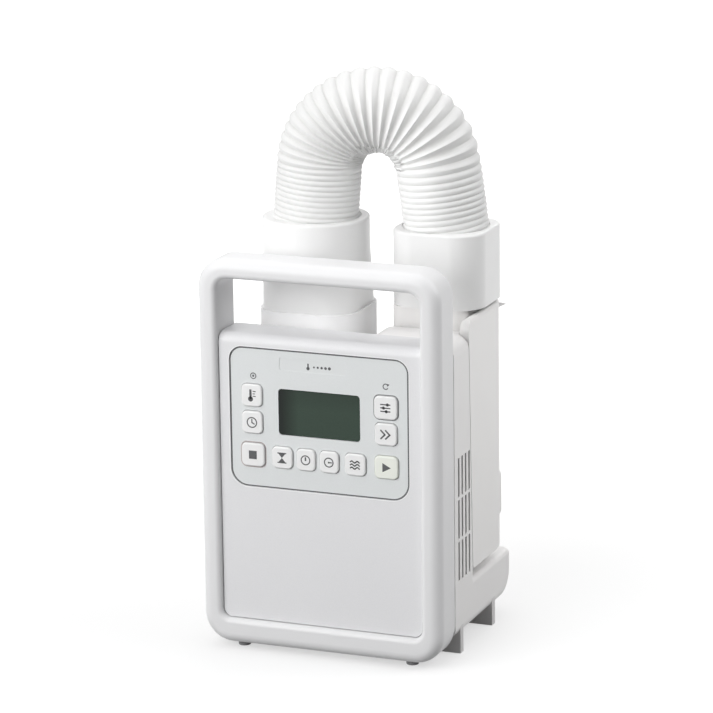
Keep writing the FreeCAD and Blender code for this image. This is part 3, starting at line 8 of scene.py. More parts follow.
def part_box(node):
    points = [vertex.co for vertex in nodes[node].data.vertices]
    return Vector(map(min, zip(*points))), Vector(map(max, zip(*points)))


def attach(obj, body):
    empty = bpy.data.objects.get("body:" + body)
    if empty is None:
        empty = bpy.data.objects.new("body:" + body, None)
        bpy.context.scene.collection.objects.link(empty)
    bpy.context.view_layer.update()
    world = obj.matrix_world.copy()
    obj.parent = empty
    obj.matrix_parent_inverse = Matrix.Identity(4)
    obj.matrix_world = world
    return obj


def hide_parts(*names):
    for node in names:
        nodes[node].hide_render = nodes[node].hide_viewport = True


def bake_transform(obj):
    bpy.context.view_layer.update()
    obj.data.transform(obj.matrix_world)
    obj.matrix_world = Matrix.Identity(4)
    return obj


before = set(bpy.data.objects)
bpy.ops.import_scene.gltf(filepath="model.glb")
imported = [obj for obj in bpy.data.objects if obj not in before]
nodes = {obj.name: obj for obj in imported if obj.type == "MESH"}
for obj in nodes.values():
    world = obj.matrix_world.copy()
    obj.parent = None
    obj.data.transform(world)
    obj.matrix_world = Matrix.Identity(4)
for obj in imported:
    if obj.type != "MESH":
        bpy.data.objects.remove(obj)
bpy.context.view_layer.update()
scene = bpy.context.scene
scene.view_settings.view_transform = "Standard"

# Sizes in metres, in the row frame: X right, Y back, Z up, front of the carrying loop at FRONT
MM = 0.001
FRONT = -69.5 * MM
KEY_FACE = FRONT + 3.4 * MM
PANEL_FACE = FRONT + 4.0 * MM
PLATE_FACE = FRONT + 4.9 * MM
SEAM_FACE = FRONT + 5.2 * MM
SIGN_FACE = PLATE_FACE + 0.3 * MM
INK_THICKNESS = 0.05 * MM

# Middle of each key: across and up, millimetres
KEY_CENTRES = {
    "key_temperature": (-45.9, 168.8),
    "key_time": (-45.9, 151.2),
    "key_stop": (-45.7, 130.0),
    "key_reserve": (-25.8, 129.8),
    "key_hour": (-9.7, 129.8),
    "key_minute": (6.1, 129.8),
    "key_keep_warm": (23.7, 129.8),
    "key_start": (44.6, 130.0),
    "key_turbo": (44.5, 151.4),
    "key_mode": (44.6, 168.6),
}

# Hose route in its own upright plane: distance along the plane and height, millimetres
HOSE_MIDDLE = Vector((10.65, 16.8, 0.0)) * MM
HOSE_ALONG = Vector((0.9517, 0.3072, 0.0))
HOSE_ROUTE = (
    (-43.3, 250.7),
    (-39.8, 292.0),
    (-37.9, 321.2),
    (-16.8, 340.4),
    (12.4, 340.0),
    (34.0, 321.0),
    (38.4, 292.0),
    (43.3, 250.7),
)
HOSE_RADIUS = 27.4 * MM
HOSE_BEND_HEIGHT = 298.0 * MM
# Rim of each socket that the hose stands in, given as the route is
CUFF_RIM = (-40.8, 271.2)
COLLAR_RIM = (41.4, 264.7)

# Share of the hose's ribs passed by each share of its length: close in the legs, wide over the arch
RIB_SHARES = (
    (0.0, 0.0),
    (0.13, 0.166),
    (0.259, 0.330),
    (0.366, 0.447),
    (0.469, 0.532),
    (0.603, 0.628),
    (0.737, 0.718),
    (0.768, 0.741),
    (0.804, 0.775),
    (0.90, 0.886),
    (1.0, 1.0),
)
RIB_COUNT = 50
RIB_ROUNDNESS = 0.8

# Lip round the hose in its socket: distance from the hose's middle and height, millimetres
SEAL_PROFILE = ((26.6, -0.4), (27.0, 0.0), (27.8, 0.1), (28.6, -0.3), (28.7, -2.0), (26.6, -2.0))
SEAL_SIDES = 96

# Camera as fitted to the photograph: metres, millimetres of lens and degrees
CAMERA_PLACE = (0.8760, -2.1779, 0.7881)
CAMERA_LENS = 191.3
CAMERA_SENSOR = 36.0
CAMERA_FAR = 50.0
CAMERA_TURN = 21.93
CAMERA_DIP = 14.48
CAMERA_ROLL = -0.74

# Studio light: even light all round, less of it from the dark side, and soft lamps
AMBIENT = 0.57
DARK_SIDE = (0.64, -0.76, 0.1)
DARK_SIDE_SHARE = 0.12
DARK_SIDE_EDGES = (0.1, 0.95)
LAMP_TARGET = (0, 0, 0.17)
# Name, place, width, height and power of each lamp
LAMPS = (
    ("front_left_lamp", (-0.4, -0.95, 0.85), 1.2, 0.8, 8.2),
    ("low_left_lamp", (-1.0, -1.9, 0.65), 2.0, 1.0, 14.5),
    ("front_lamp", (0.3, -2.3, 0.45), 1.6, 0.7, 3.0),
    ("top_lamp", (-0.2, 0.2, 2.2), 2.0, 2.0, 10.5),
    ("right_lamp", (1.1, 0.3, 1.0), 0.9, 0.9, 8.8),
    ("back_lamp", (-0.3, 1.6, 1.3), 1.6, 1.2, 5.5),
)

# Floor: its grey for bounced light and to the eye, and its glow from under the object outwards
FLOOR_HALF_SIZE = 6.0
FLOOR_BOUNCE = (0.20, 0.20, 0.20, 1)
FLOOR_SEEN = (0.40, 0.40, 0.40, 1)
FLOOR_GLOW = (0.56, 1.0)
FLOOR_GLOW_REACH = (0.15, 0.9)

WHITE = (1, 1, 1, 1)
DUST_GREY = (0.46, 0.44, 0.41, 1)
# Hose whites: plain, and a lighter white painted towards the inside of the bend as painted light
HOSE_PLAIN = (0.76, 0.76, 0.755, 1)
HOSE_PAINTED_LIGHT = (0.93, 0.93, 0.925, 1)
# Grey of the painted shade in the hose's valleys
HOSE_VALLEY_SHADE = (0.50, 0.495, 0.47, 1)


# Tree helpers
def feed(tree, socket, value):
    """Links a socket to another, or sets a plain value on it."""
    if isinstance(value, bpy.types.NodeSocket):
        tree.links.new(value, socket)
    else:
        socket.default_value = value


def add_node(tree, kind, **values):
    """One node, with its properties and unlinked inputs set."""
    node = tree.nodes.new(kind)
    for key, value in values.items():
        if hasattr(node, key):
            setattr(node, key, value)
        else:
            node.inputs[key.replace("_", " ")].default_value = value
    return node


def math_node(tree, operation, first, second=None, third=None, clamp=False):
    """Maths on links or plain numbers; gives the result socket."""
    node = tree.nodes.new("ShaderNodeMath")
    node.operation = operation
    node.use_clamp = clamp
    for socket, value in zip(node.inputs, (first, second, third)):
        if value is not None:
            feed(tree, socket, value)
    return node.outputs[0]


def vector_node(tree, operation, first, second=None):
    """Vector maths on links or plain vectors; gives the node."""
    node = tree.nodes.new("ShaderNodeVectorMath")
    node.operation = operation
    for socket, value in zip(node.inputs, (first, second)):
        if value is not None:
            feed(tree, socket, value)
    return node


def map_range(tree, value, low, high, at_low=0.0, at_high=1.0, smooth=False):
    """Value carried from one range to another and held at its ends; gives the result socket."""
    node = tree.nodes.new("ShaderNodeMapRange")
    if smooth:
        node.interpolation_type = "SMOOTHSTEP"
    labels = ("Value", "From Min", "From Max", "To Min", "To Max")
    for label, given in zip(labels, (value, low, high, at_low, at_high)):
        feed(tree, node.inputs[label], given)
    return node.outputs["Result"]


def mix_colour(tree, factor, first, second, blend="MIX"):
    """Colour between two colours; gives the result socket."""
    node = tree.nodes.new("ShaderNodeMix")
    node.data_type = "RGBA"
    node.blend_type = blend
    for index, value in ((0, factor), (6, first), (7, second)):
        feed(tree, node.inputs[index], value)
    return node.outputs[2]


def new_group(name, inputs, outputs):
    """Empty shader group with named sockets; inputs are (name, kind, default)."""
    tree = bpy.data.node_groups.new(name, "ShaderNodeTree")
    for label, kind, default in inputs:
        socket = tree.interface.new_socket(label, in_out="INPUT", socket_type="NodeSocket" + kind)
        socket.default_value = default
    for label, kind in outputs:
        tree.interface.new_socket(label, in_out="OUTPUT", socket_type="NodeSocket" + kind)
    return tree, tree.nodes.new("NodeGroupInput"), tree.nodes.new("NodeGroupOutput")


def own_place(tree):
    """Socket with the piece's own coordinates."""
    return tree.nodes.new("ShaderNodeTexCoord").outputs["Object"]


def object_noise(tree, scale, detail=2.0, roughness=0.5):
    """Noise on the piece's own coordinates."""
    noise = add_node(tree, "ShaderNodeTexNoise", Detail=detail, Roughness=roughness)
    tree.links.new(own_place(tree), noise.inputs["Vector"])
    feed(tree, noise.inputs["Scale"], scale)
    return noise.outputs["Fac"]


def moulded_grain_group():
    """Moulded plastic: cloudy tint, uneven shine and a fine spark-eroded grain."""
    tree, into, out = new_group(
        "moulded grain",
        (
            ("Colour", "Color", (0.8, 0.8, 0.8, 1)),
            ("Cloud", "Float", 0.03),
            ("Shine", "Float", 0.35),
            ("Shine Spread", "Float", 0.06),
            ("Grain Scale", "Float", 1800.0),
        ),
        (("Colour", "Color"), ("Roughness", "Float"), ("Height", "Float")),
    )
    cloud = object_noise(tree, 18.0, 3.0)
    shade = math_node(tree, "MULTIPLY_ADD", cloud, -2.0, 1.0)
    dim = math_node(tree, "MULTIPLY_ADD", shade, into.outputs["Cloud"], 1.0)
    grey = tree.nodes.new("ShaderNodeCombineColor")
    for channel in grey.inputs:
        tree.links.new(dim, channel)
    colour = mix_colour(tree, 1.0, into.outputs["Colour"], grey.outputs[0], "MULTIPLY")
    smear = object_noise(tree, 70.0, 4.0, 0.6)
    spread = math_node(tree, "SUBTRACT", smear, 0.5)
    rough = math_node(tree, "MULTIPLY_ADD", spread, into.outputs["Shine Spread"], into.outputs["Shine"])
    grain = object_noise(tree, into.outputs["Grain Scale"], 2.0, 0.6)
    tree.links.new(colour, out.inputs["Colour"])
    tree.links.new(rough, out.inputs["Roughness"])
    tree.links.new(grain, out.inputs["Height"])
    return tree


def edge_wear_sheen_group():
    """Mask of the edges that hands and cloths rub smooth, also used for a painted sheen that lightens
    them.
    """
    tree, into, out = new_group(
        "edge wear and sheen", (("Width", "Float", 0.0012), ("Strength", "Float", 1.0)), (("Mask", "Float"),)
    )
    bevel = tree.nodes.new("ShaderNodeBevel")
    bevel.samples = 4
    tree.links.new(into.outputs["Width"], bevel.inputs["Radius"])
    plain = tree.nodes.new("ShaderNodeNewGeometry")
    facing = vector_node(tree, "DOT_PRODUCT", bevel.outputs["Normal"], plain.outputs["Normal"])
    turned = math_node(tree, "SUBTRACT", 1.0, facing.outputs["Value"])
    rub_sheen_noise = object_noise(tree, 90.0, 2.0)
    worn_and_sheen = math_node(tree, "MULTIPLY", map_range(tree, turned, 0.05, 0.6), rub_sheen_noise)
    mask = math_node(tree, "MULTIPLY", worn_and_sheen, into.outputs["Strength"], clamp=True)
    tree.links.new(mask, out.inputs["Mask"])
    return tree


def settled_dust_group():
    """Mask of faint dust on faces that look up."""
    tree, into, out = new_group("settled dust", (("Amount", "Float", 0.1),), (("Mask", "Float"),))
    where = tree.nodes.new("ShaderNodeTexCoord")
    split = tree.nodes.new("ShaderNodeSeparateXYZ")
    tree.links.new(where.outputs["Normal"], split.inputs[0])
    up = map_range(tree, split.outputs["Z"], 0.55, 1.0)
    speck = object_noise(tree, 420.0, 6.0, 0.7)
    patch = object_noise(tree, 22.0, 2.0)
    both = math_node(tree, "MULTIPLY", speck, patch)
    lying = math_node(tree, "MULTIPLY", both, up)
    mask = math_node(tree, "MULTIPLY", lying, into.outputs["Amount"], clamp=True)
    tree.links.new(mask, out.inputs["Mask"])
    return tree


GRAIN = moulded_grain_group()
EDGE_WEAR_SHEEN = edge_wear_sheen_group()
DUST = settled_dust_group()


def use_group(tree, group, **values):
    """A group placed in a material with its own values."""
    node = tree.nodes.new("ShaderNodeGroup")
    node.node_tree = group
    for key, value in values.items():
        node.inputs[key.replace("_", " ")].default_value = value
    return node


def start_material(name):
    """Material with only its surface shader; gives material, tree and shader."""
    material = bpy.data.materials.new(name)
    material.use_nodes = True
    tree = material.node_tree
    return material, tree, tree.nodes["Principled BSDF"]


def set_bump(tree, shader, height, strength, distance):
    """Raised grain from a height."""
    bump = add_node(tree, "ShaderNodeBump", Strength=strength, Distance=distance)
    tree.links.new(height, bump.inputs["Height"])
    tree.links.new(bump.outputs["Normal"], shader.inputs["Normal"])


def moulded(name, colour, shine, cloud=0.03, grain=1800.0, bump=0.12, coat=0.0, edge=0.0, dust=0.0):
    """Moulded plastic or rubber in one colour."""
    material, tree, shader = start_material(name)
    base = use_group(
        tree, GRAIN, Colour=(*colour, 1), Cloud=cloud,
        Shine=shine, Shine_Spread=shine * 0.3, Grain_Scale=grain,
    )
    result = base.outputs["Colour"]
    rough = base.outputs["Roughness"]
    # Edges: rubbed smoother, and lighter as a painted sheen
    if edge:
        wear_and_sheen = use_group(tree, EDGE_WEAR_SHEEN, Strength=edge)
        sheen_tone = tuple(min(1.0, 1.08 * part + 0.02) for part in colour)
        result = mix_colour(tree, wear_and_sheen.outputs["Mask"], result, (*sheen_tone, 1))
        rough = math_node(tree, "MULTIPLY_ADD", wear_and_sheen.outputs["Mask"], -0.2 * shine, rough)
    if dust:
        lying = use_group(tree, DUST, Amount=dust)
        result = mix_colour(tree, lying.outputs["Mask"], result, DUST_GREY)
        rough = math_node(tree, "MULTIPLY_ADD", lying.outputs["Mask"], 0.5, rough)
    tree.links.new(result, shader.inputs["Base Color"])
    tree.links.new(rough, shader.inputs["Roughness"])
    shader.inputs["Coat Weight"].default_value = coat
    shader.inputs["Coat Roughness"].default_value = 0.3
    set_bump(tree, shader, base.outputs["Height"], bump, 0.00012)
    return material


def silver_panel(name, colour, shine):
    """Painted panel with fine pale flakes under the lacquer."""
    material, tree, shader = start_material(name)
    base = use_group(
        tree, GRAIN, Colour=(*colour, 1), Cloud=0.02, Shine=shine, Shine_Spread=0.08, Grain_Scale=2600.0
    )
    flakes = add_node(tree, "ShaderNodeTexVoronoi", Scale=3200.0)
    tree.links.new(own_place(tree), flakes.inputs["Vector"])
    tone = tree.nodes.new("ShaderNodeSeparateColor")
    tree.links.new(flakes.outputs["Color"], tone.inputs[0])
    bright = tuple(min(1.0, part * 1.14) for part in colour)
    glint = math_node(tree, "MULTIPLY", tone.outputs[0], 0.28)
    result = mix_colour(tree, glint, base.outputs["Colour"], (*bright, 1))
    # Painted sheen: the edges drawn lighter
    wear_and_sheen = use_group(tree, EDGE_WEAR_SHEEN, Strength=1.2)
    result = mix_colour(tree, wear_and_sheen.outputs["Mask"], result, (*bright, 1))
    tree.links.new(result, shader.inputs["Base Color"])
    rough = math_node(tree, "MULTIPLY_ADD", tone.outputs[1], 0.06, base.outputs["Roughness"])
    tree.links.new(rough, shader.inputs["Roughness"])
    shader.inputs["Coat Weight"].default_value = 0.15
    shader.inputs["Coat Roughness"].default_value = 0.25
    set_bump(tree, shader, base.outputs["Height"], 0.08, 0.0001)
    return material


def hose_plastic():
    """Soft white hose: painted shade makes it greyer in the valleys, and painted light makes it whiter
    towards the inside of the bend than towards the outside.
    """
    material, tree, shader = start_material("hose plastic")
    base = use_group(tree, GRAIN, Cloud=0.04, Shine=0.42, Shine_Spread=0.14, Grain_Scale=1400.0)
    # Painted light: the hose drawn whiter towards the inside of the bend
    bend_painted_light = add_node(tree, "ShaderNodeAttribute", attribute_name="bend_painted_light")
    tone = mix_colour(tree, bend_painted_light.outputs["Fac"], HOSE_PLAIN, HOSE_PAINTED_LIGHT)
    tree.links.new(tone, base.inputs["Colour"])
    crest = add_node(tree, "ShaderNodeAttribute", attribute_name="crest")
    # Painted shade in the valleys between the ribs, made patchy by noise
    hollow = map_range(tree, crest.outputs["Fac"], 0.0, 0.55, 0.34, 0.0)
    valley_shade_noise = math_node(tree, "ADD", object_noise(tree, 160.0, 4.0, 0.65), 0.35)
    shade = math_node(tree, "MULTIPLY", hollow, valley_shade_noise, clamp=True)
    result = mix_colour(tree, shade, base.outputs["Colour"], HOSE_VALLEY_SHADE)
    tree.links.new(result, shader.inputs["Base Color"])
    rough = math_node(tree, "MULTIPLY_ADD", shade, 0.3, base.outputs["Roughness"])
    tree.links.new(rough, shader.inputs["Roughness"])
    set_bump(tree, shader, base.outputs["Height"], 0.15, 0.00015)
    return material


def display_glass():
    """Unlit liquid-crystal window, darker where its frame shades the left end and the top."""
    material, tree, shader = start_material("display glass")
    place = own_place(tree)
    split = tree.nodes.new("ShaderNodeSeparateXYZ")
    tree.links.new(place, split.inputs[0])
    low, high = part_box("display_window")
    near_left = math_node(tree, "SUBTRACT", split.outputs["X"], low.x)
    near_top = math_node(tree, "SUBTRACT", high.z, split.outputs["Z"])
    from_left = map_range(tree, near_left, 2 * MM, 13 * MM, 0.15, 1.0)
    from_top = map_range(tree, near_top, 1 * MM, 12 * MM, 0.75, 1.0)
    clear = math_node(tree, "MULTIPLY", from_left, from_top)
    rows = add_node(tree, "ShaderNodeTexNoise", Scale=900.0, Detail=1.0)
    tree.links.new(place, rows.inputs["Vector"])
    cells = mix_colour(tree, rows.outputs["Fac"], (0.030, 0.052, 0.037, 1), (0.036, 0.060, 0.044, 1))
    result = mix_colour(tree, clear, (0.004, 0.006, 0.005, 1), cells)
    tree.links.new(result, shader.inputs["Base Color"])
    haze = object_noise(tree, 60.0, 3.0)
    tree.links.new(math_node(tree, "MULTIPLY_ADD", haze, 0.08, 0.1), shader.inputs["Roughness"])
    shader.inputs["Specular IOR Level"].default_value = 0.2
    return material


def brushed_metal(name, colour, shine, direction):
    """Turned or drawn metal with fine lines."""
    material, tree, shader = start_material(name)
    stretch = tree.nodes.new("ShaderNodeMapping")
    stretch.inputs["Scale"].default_value = direction
    tree.links.new(own_place(tree), stretch.inputs["Vector"])
    lines = add_node(tree, "ShaderNodeTexNoise", Scale=1.0, Detail=3.0)
    tree.links.new(stretch.outputs["Vector"], lines.inputs["Vector"])
    dark = tuple(part * 0.8 for part in colour)
    result = mix_colour(tree, lines.outputs["Fac"], (*dark, 1), (*colour, 1))
    tree.links.new(result, shader.inputs["Base Color"])
    rough = math_node(tree, "MULTIPLY_ADD", lines.outputs["Fac"], 0.2, shine)
    tree.links.new(rough, shader.inputs["Roughness"])
    shader.inputs["Metallic"].default_value = 1.0
    set_bump(tree, shader, lines.outputs["Fac"], 0.2, 0.00008)
    return material


def circuit_board():
    """Green board with paler copper runs under the mask."""
    material, tree, shader = start_material("circuit board")
    turned = tree.nodes.new("ShaderNodeMapping")
    turned.inputs["Rotation"].default_value = (math.pi / 2, 0, 0)
    tree.links.new(own_place(tree), turned.inputs["Vector"])
    runs = add_node(tree, "ShaderNodeTexBrick", Scale=160.0)
    runs.inputs["Mortar Size"].default_value = 0.03
    tree.links.new(turned.outputs["Vector"], runs.inputs["Vector"])
    result = mix_colour(tree, runs.outputs["Fac"], (0.02, 0.14, 0.06, 1), (0.06, 0.26, 0.10, 1))
    tree.links.new(result, shader.inputs["Base Color"])
    film = object_noise(tree, 300.0, 2.0)
    tree.links.new(math_node(tree, "MULTIPLY_ADD", film, 0.15, 0.28), shader.inputs["Roughness"])
    set_bump(tree, shader, runs.outputs["Fac"], 0.3, 0.00005)
    return material


WHITE_LOOP = moulded(
    "white loop", (0.77, 0.77, 0.778), shine=0.35, cloud=0.015,
    grain=2400.0, bump=0.05, edge=1.0, dust=0.04,
)
WHITE_CASE = moulded(
    "white case", (0.845, 0.835, 0.83), shine=0.36, cloud=0.02,
    grain=1700.0, bump=0.14, edge=1.0, dust=0.06,
)
WHITE_SLEEVE = moulded(
    "white sleeve", (0.86, 0.86, 0.857), shine=0.32, cloud=0.02,
    grain=2000.0, bump=0.08, coat=0.1, edge=1.0, dust=0.04,
)
# Whiter than the case and sleeves: painted light that makes up for the shade of the loop's top bar on the
# outlet
LIT_WHITE_OUTLET = moulded(
    "lit white outlet", (0.92, 0.92, 0.925), shine=0.36, cloud=0.02,
    grain=2000.0, bump=0.08, edge=1.0, dust=0.04,
)
WHITE_NOZZLE = moulded(
    "white nozzle", (0.885, 0.875, 0.865), shine=0.34, cloud=0.02,
    grain=1700.0, bump=0.12, edge=1.0, dust=0.04,
)
WHITE_KEY = moulded(
    "white key", (0.83, 0.83, 0.83), shine=0.34, cloud=0.01,
    grain=3000.0, bump=0.06, coat=0.1, edge=0.8,
)
START_KEY = moulded(
    "start key", (0.82, 0.84, 0.775), shine=0.34, cloud=0.01,
    grain=3000.0, bump=0.06, coat=0.1, edge=0.8,
)
SILVER_PANEL = silver_panel("silver panel", (0.735, 0.735, 0.748), 0.42)
SILVER_PLATE = silver_panel("silver plate", (0.69, 0.71, 0.713), 0.40)
HOSE_PLASTIC = hose_plastic()
SEAL_WHITE = moulded("seal white", (0.79, 0.79, 0.785), shine=0.5, cloud=0.03, grain=1400.0, bump=0.15)
DISPLAY_GLASS = display_glass()
SMOKED_LENS = moulded(
    "smoked lens", (0.70, 0.718, 0.721), shine=0.3, cloud=0.02,
    grain=2600.0, bump=0.03, coat=0.15,
)
LEG_GREY = moulded("leg grey", (0.70, 0.69, 0.69), shine=0.5, cloud=0.05, grain=1500.0, bump=0.2, edge=0.8)
FOOT_GREY = moulded("foot grey", (0.24, 0.24, 0.245), shine=0.6, cloud=0.06, grain=1200.0, bump=0.25)
FOOT_RUBBER = moulded("foot rubber", (0.035, 0.035, 0.037), shine=0.7, cloud=0.08, grain=1200.0, bump=0.3)
MARK_INK = moulded("mark ink", (0.085, 0.085, 0.09), shine=0.5, cloud=0.06, grain=2600.0, bump=0.1)
RING_ROSE = moulded("ring rose", (0.44, 0.36, 0.36), shine=0.5, cloud=0.05, grain=2600.0, bump=0.1)
RING_GREY = moulded("ring grey", (0.16, 0.16, 0.17), shine=0.5, cloud=0.05, grain=2600.0, bump=0.1)
HIGHLIGHT_PALE = moulded("painted highlight", (0.88, 0.88, 0.885), shine=0.3, cloud=0.02, grain=2600.0, bump=0.05)
SEAM_SHADE = moulded("seam shade", (0.11, 0.11, 0.115), shine=0.6, cloud=0.05, grain=2600.0, bump=0.1)
DARK_PLASTIC = moulded("dark plastic", (0.03, 0.03, 0.032), shine=0.45, cloud=0.06, grain=1500.0, bump=0.2)
INNER_PLASTIC = moulded("inner plastic", (0.20, 0.20, 0.21), shine=0.5, cloud=0.06, grain=1500.0, bump=0.2)
FILTER_NYLON = moulded("filter nylon", (0.10, 0.10, 0.11), shine=0.6, cloud=0.08, grain=2600.0, bump=0.3)
SCREW_STEEL = brushed_metal("screw steel", (0.60, 0.60, 0.61), 0.25, (900, 900, 90))
DUCT_SHEET = brushed_metal("duct sheet", (0.66, 0.66, 0.66), 0.35, (1200, 60, 1200))
CIRCUIT_BOARD = circuit_board()

FINISHES = {
    "front_frame": WHITE_LOOP,
    "frame_ring": WHITE_LOOP,
    "body_shell": WHITE_CASE,
    "base_plate": WHITE_CASE,
    "filter_cover": WHITE_CASE,
    "hose_cuff": WHITE_SLEEVE,
    "outlet_ring": LIT_WHITE_OUTLET,
    "nozzle_collar": WHITE_SLEEVE,
    "nozzle_shell": WHITE_NOZZLE,
    "nozzle_flap": WHITE_NOZZLE,
    "nozzle_grille": WHITE_NOZZLE,
    "front_panel": SILVER_PANEL,
    "control_plate": SILVER_PLATE,
    "display_window": DISPLAY_GLASS,
    "sign_lens": SMOKED_LENS,
    "sign_lamp": SMOKED_LENS,
    "front_legs": LEG_GREY,
    "rear_legs": LEG_GREY,
    "front_feet": FOOT_GREY,
    "cord_bush": FOOT_RUBBER,
    "control_board": CIRCUIT_BOARD,
    "power_board": CIRCUIT_BOARD,
    "filter_mesh": FILTER_NYLON,
    "scroll_front": INNER_PLASTIC,
    "scroll_back": INNER_PLASTIC,
    "fan_impeller": INNER_PLASTIC,
    "heater_duct": DUCT_SHEET,
    "heater_core": DUCT_SHEET,
    "thermal_fuse": DUCT_SHEET,
    "hose": HOSE_PLASTIC,
}
for name in KEY_CENTRES:
    FINISHES[name] = WHITE_KEY
FINISHES["key_start"] = START_KEY
for name in ("display_module", "tact_switches", "transformer", "capacitor", "relay"):
    FINISHES[name] = DARK_PLASTIC
for name in ("frame_screws", "board_screws", "base_screws", "motor_shaft"):
    FINISHES[name] = SCREW_STEEL
for name in ("flap_pin", "fan_motor", "thermostat"):
    FINISHES[name] = SCREW_STEEL

for name, obj in nodes.items():
    obj.data.materials.clear()
    obj.data.materials.append(FINISHES[name])


# Ribbed hose: a smooth route, and a tree that folds it into ribs
def store_value(tree, geometry, name, value):
    """Keeps a value on the geometry's points under a name; gives the geometry."""
    keep = tree.nodes.new("GeometryNodeStoreNamedAttribute")
    keep.data_type = "FLOAT"
    keep.inputs["Name"].default_value = name
    tree.links.new(geometry, keep.inputs["Geometry"])
    tree.links.new(value, keep.inputs["Value"])
    return keep.outputs["Geometry"]


def stored_value(tree, name):
    """Value kept under a name."""
    node = tree.nodes.new("GeometryNodeInputNamedAttribute")
    node.data_type = "FLOAT"
    node.inputs["Name"].default_value = name
    return node.outputs["Attribute"]


def hose_tree():
    """Tree that turns a route into a pleated tube, with crest values and the painted bend light on its
    points.

    The pleats are round in the legs and on the outside of the bend, and sharp folds on its inside.
    Reaches are distances from the middle of the bend.
    """
    tree = bpy.data.node_groups.new("ribbed hose", "GeometryNodeTree")
    face = tree.interface
    face.new_socket("Route", in_out="INPUT", socket_type="NodeSocketGeometry")
    for label, default in (
        ("Radius", HOSE_RADIUS),
        ("Ribs", RIB_COUNT),
        ("Leg Depth", 1.0 * MM),
        ("Inner Depth", 0.4 * MM),
        ("Outer Depth", 2.0 * MM),
        ("Inner Reach", 12.0 * MM),
        ("Outer Reach", 34.0 * MM),
        ("Sharp Reach", 46.0 * MM),
        ("Round Reach", 70.0 * MM),
        ("Bend Rise", 20.0 * MM),
    ):
        face.new_socket(label, in_out="INPUT", socket_type="NodeSocketFloat").default_value = default
    for label, default in (("Bend Centre", (0, 0, 0)), ("Bend Across", (1, 0, 0))):
        face.new_socket(label, in_out="INPUT", socket_type="NodeSocketVector").default_value = default
    for label, default in (("Rings", 900), ("Around", 80)):
        face.new_socket(label, in_out="INPUT", socket_type="NodeSocketInt").default_value = default
    face.new_socket("Material", in_out="INPUT", socket_type="NodeSocketMaterial")
    face.new_socket("Hose", in_out="OUTPUT", socket_type="NodeSocketGeometry")
    into = tree.nodes.new("NodeGroupInput")
    out = tree.nodes.new("NodeGroupOutput")
    link = tree.links.new

    even = tree.nodes.new("GeometryNodeResampleCurve")
    link(into.outputs["Route"], even.inputs["Curve"])
    link(into.outputs["Rings"], even.inputs["Count"])
    along = tree.nodes.new("GeometryNodeSplineParameter")
    spread = tree.nodes.new("ShaderNodeFloatCurve")
    shares = spread.mapping.curves[0]
    for share, passed in RIB_SHARES[1:-1]:
        shares.points.new(share, passed)
    spread.mapping.update()
    link(along.outputs["Factor"], spread.inputs["Value"])
    turns = math_node(tree, "MULTIPLY", spread.outputs["Value"], into.outputs["Ribs"])
    angle = math_node(tree, "MULTIPLY", turns, math.pi)
    wave = math_node(tree, "ABSOLUTE", math_node(tree, "SINE", angle))
    rounded = math_node(tree, "POWER", wave, RIB_ROUNDNESS)
    sharp = math_node(tree, "SUBTRACT", 1.0, math_node(tree, "ABSOLUTE", math_node(tree, "COSINE", angle)))
    line = store_value(tree, even.outputs["Curve"], "round rib", rounded)
    line = store_value(tree, line, "sharp rib", sharp)
    circle = tree.nodes.new("GeometryNodeCurvePrimitiveCircle")
    link(into.outputs["Radius"], circle.inputs["Radius"])
    link(into.outputs["Around"], circle.inputs["Resolution"])
    tube = tree.nodes.new("GeometryNodeCurveToMesh")
    tube.inputs["Fill Caps"].default_value = True
    link(line, tube.inputs["Curve"])
    link(circle.outputs["Curve"], tube.inputs["Profile Curve"])

    place = tree.nodes.new("GeometryNodeInputPosition")
    away = vector_node(tree, "SUBTRACT", place.outputs["Position"], into.outputs["Bend Centre"])
    beside = vector_node(tree, "DOT_PRODUCT", away.outputs["Vector"], into.outputs["Bend Across"])
    across = beside.outputs["Value"]
    split = tree.nodes.new("ShaderNodeSeparateXYZ")
    link(away.outputs["Vector"], split.inputs[0])
    rise = split.outputs["Z"]
    square = math_node(tree, "MULTIPLY_ADD", across, across, math_node(tree, "MULTIPLY", rise, rise))
    reach = math_node(tree, "SQRT", square)
    inner, outer = into.outputs["Inner Reach"], into.outputs["Outer Reach"]
    crease, roll = into.outputs["Sharp Reach"], into.outputs["Round Reach"]
    folded = map_range(tree, reach, inner, outer, into.outputs["Inner Depth"], into.outputs["Outer Depth"])
    bend = map_range(tree, rise, 0.0, into.outputs["Bend Rise"], smooth=True)
    more = math_node(tree, "SUBTRACT", folded, into.outputs["Leg Depth"])
    depth = math_node(tree, "MULTIPLY_ADD", bend, more, into.outputs["Leg Depth"])
    creased = map_range(tree, reach, crease, roll, 1.0, 0.0, smooth=True)
    share = math_node(tree, "MULTIPLY", creased, bend)
    soft = stored_value(tree, "round rib")
    change = math_node(tree, "SUBTRACT", stored_value(tree, "sharp rib"), soft)
    crest = math_node(tree, "MULTIPLY_ADD", share, change, soft)
    # Painted light: share of the lighter white, most towards the inside of the bend
    bend_painted_light = map_range(tree, reach, inner, roll, 1.0, 0.0)
    ribbed = store_value(tree, tube.outputs["Mesh"], "crest", crest)
    ribbed = store_value(tree, ribbed, "bend_painted_light", bend_painted_light)
    inward = math_node(tree, "MULTIPLY", math_node(tree, "SUBTRACT", crest, 1.0), depth)
    facing = tree.nodes.new("GeometryNodeInputNormal")
    shift = vector_node(tree, "SCALE", facing.outputs["Normal"])
    link(inward, shift.inputs["Scale"])
    fold = tree.nodes.new("GeometryNodeSetPosition")
    link(ribbed, fold.inputs["Geometry"])
    link(shift.outputs["Vector"], fold.inputs["Offset"])

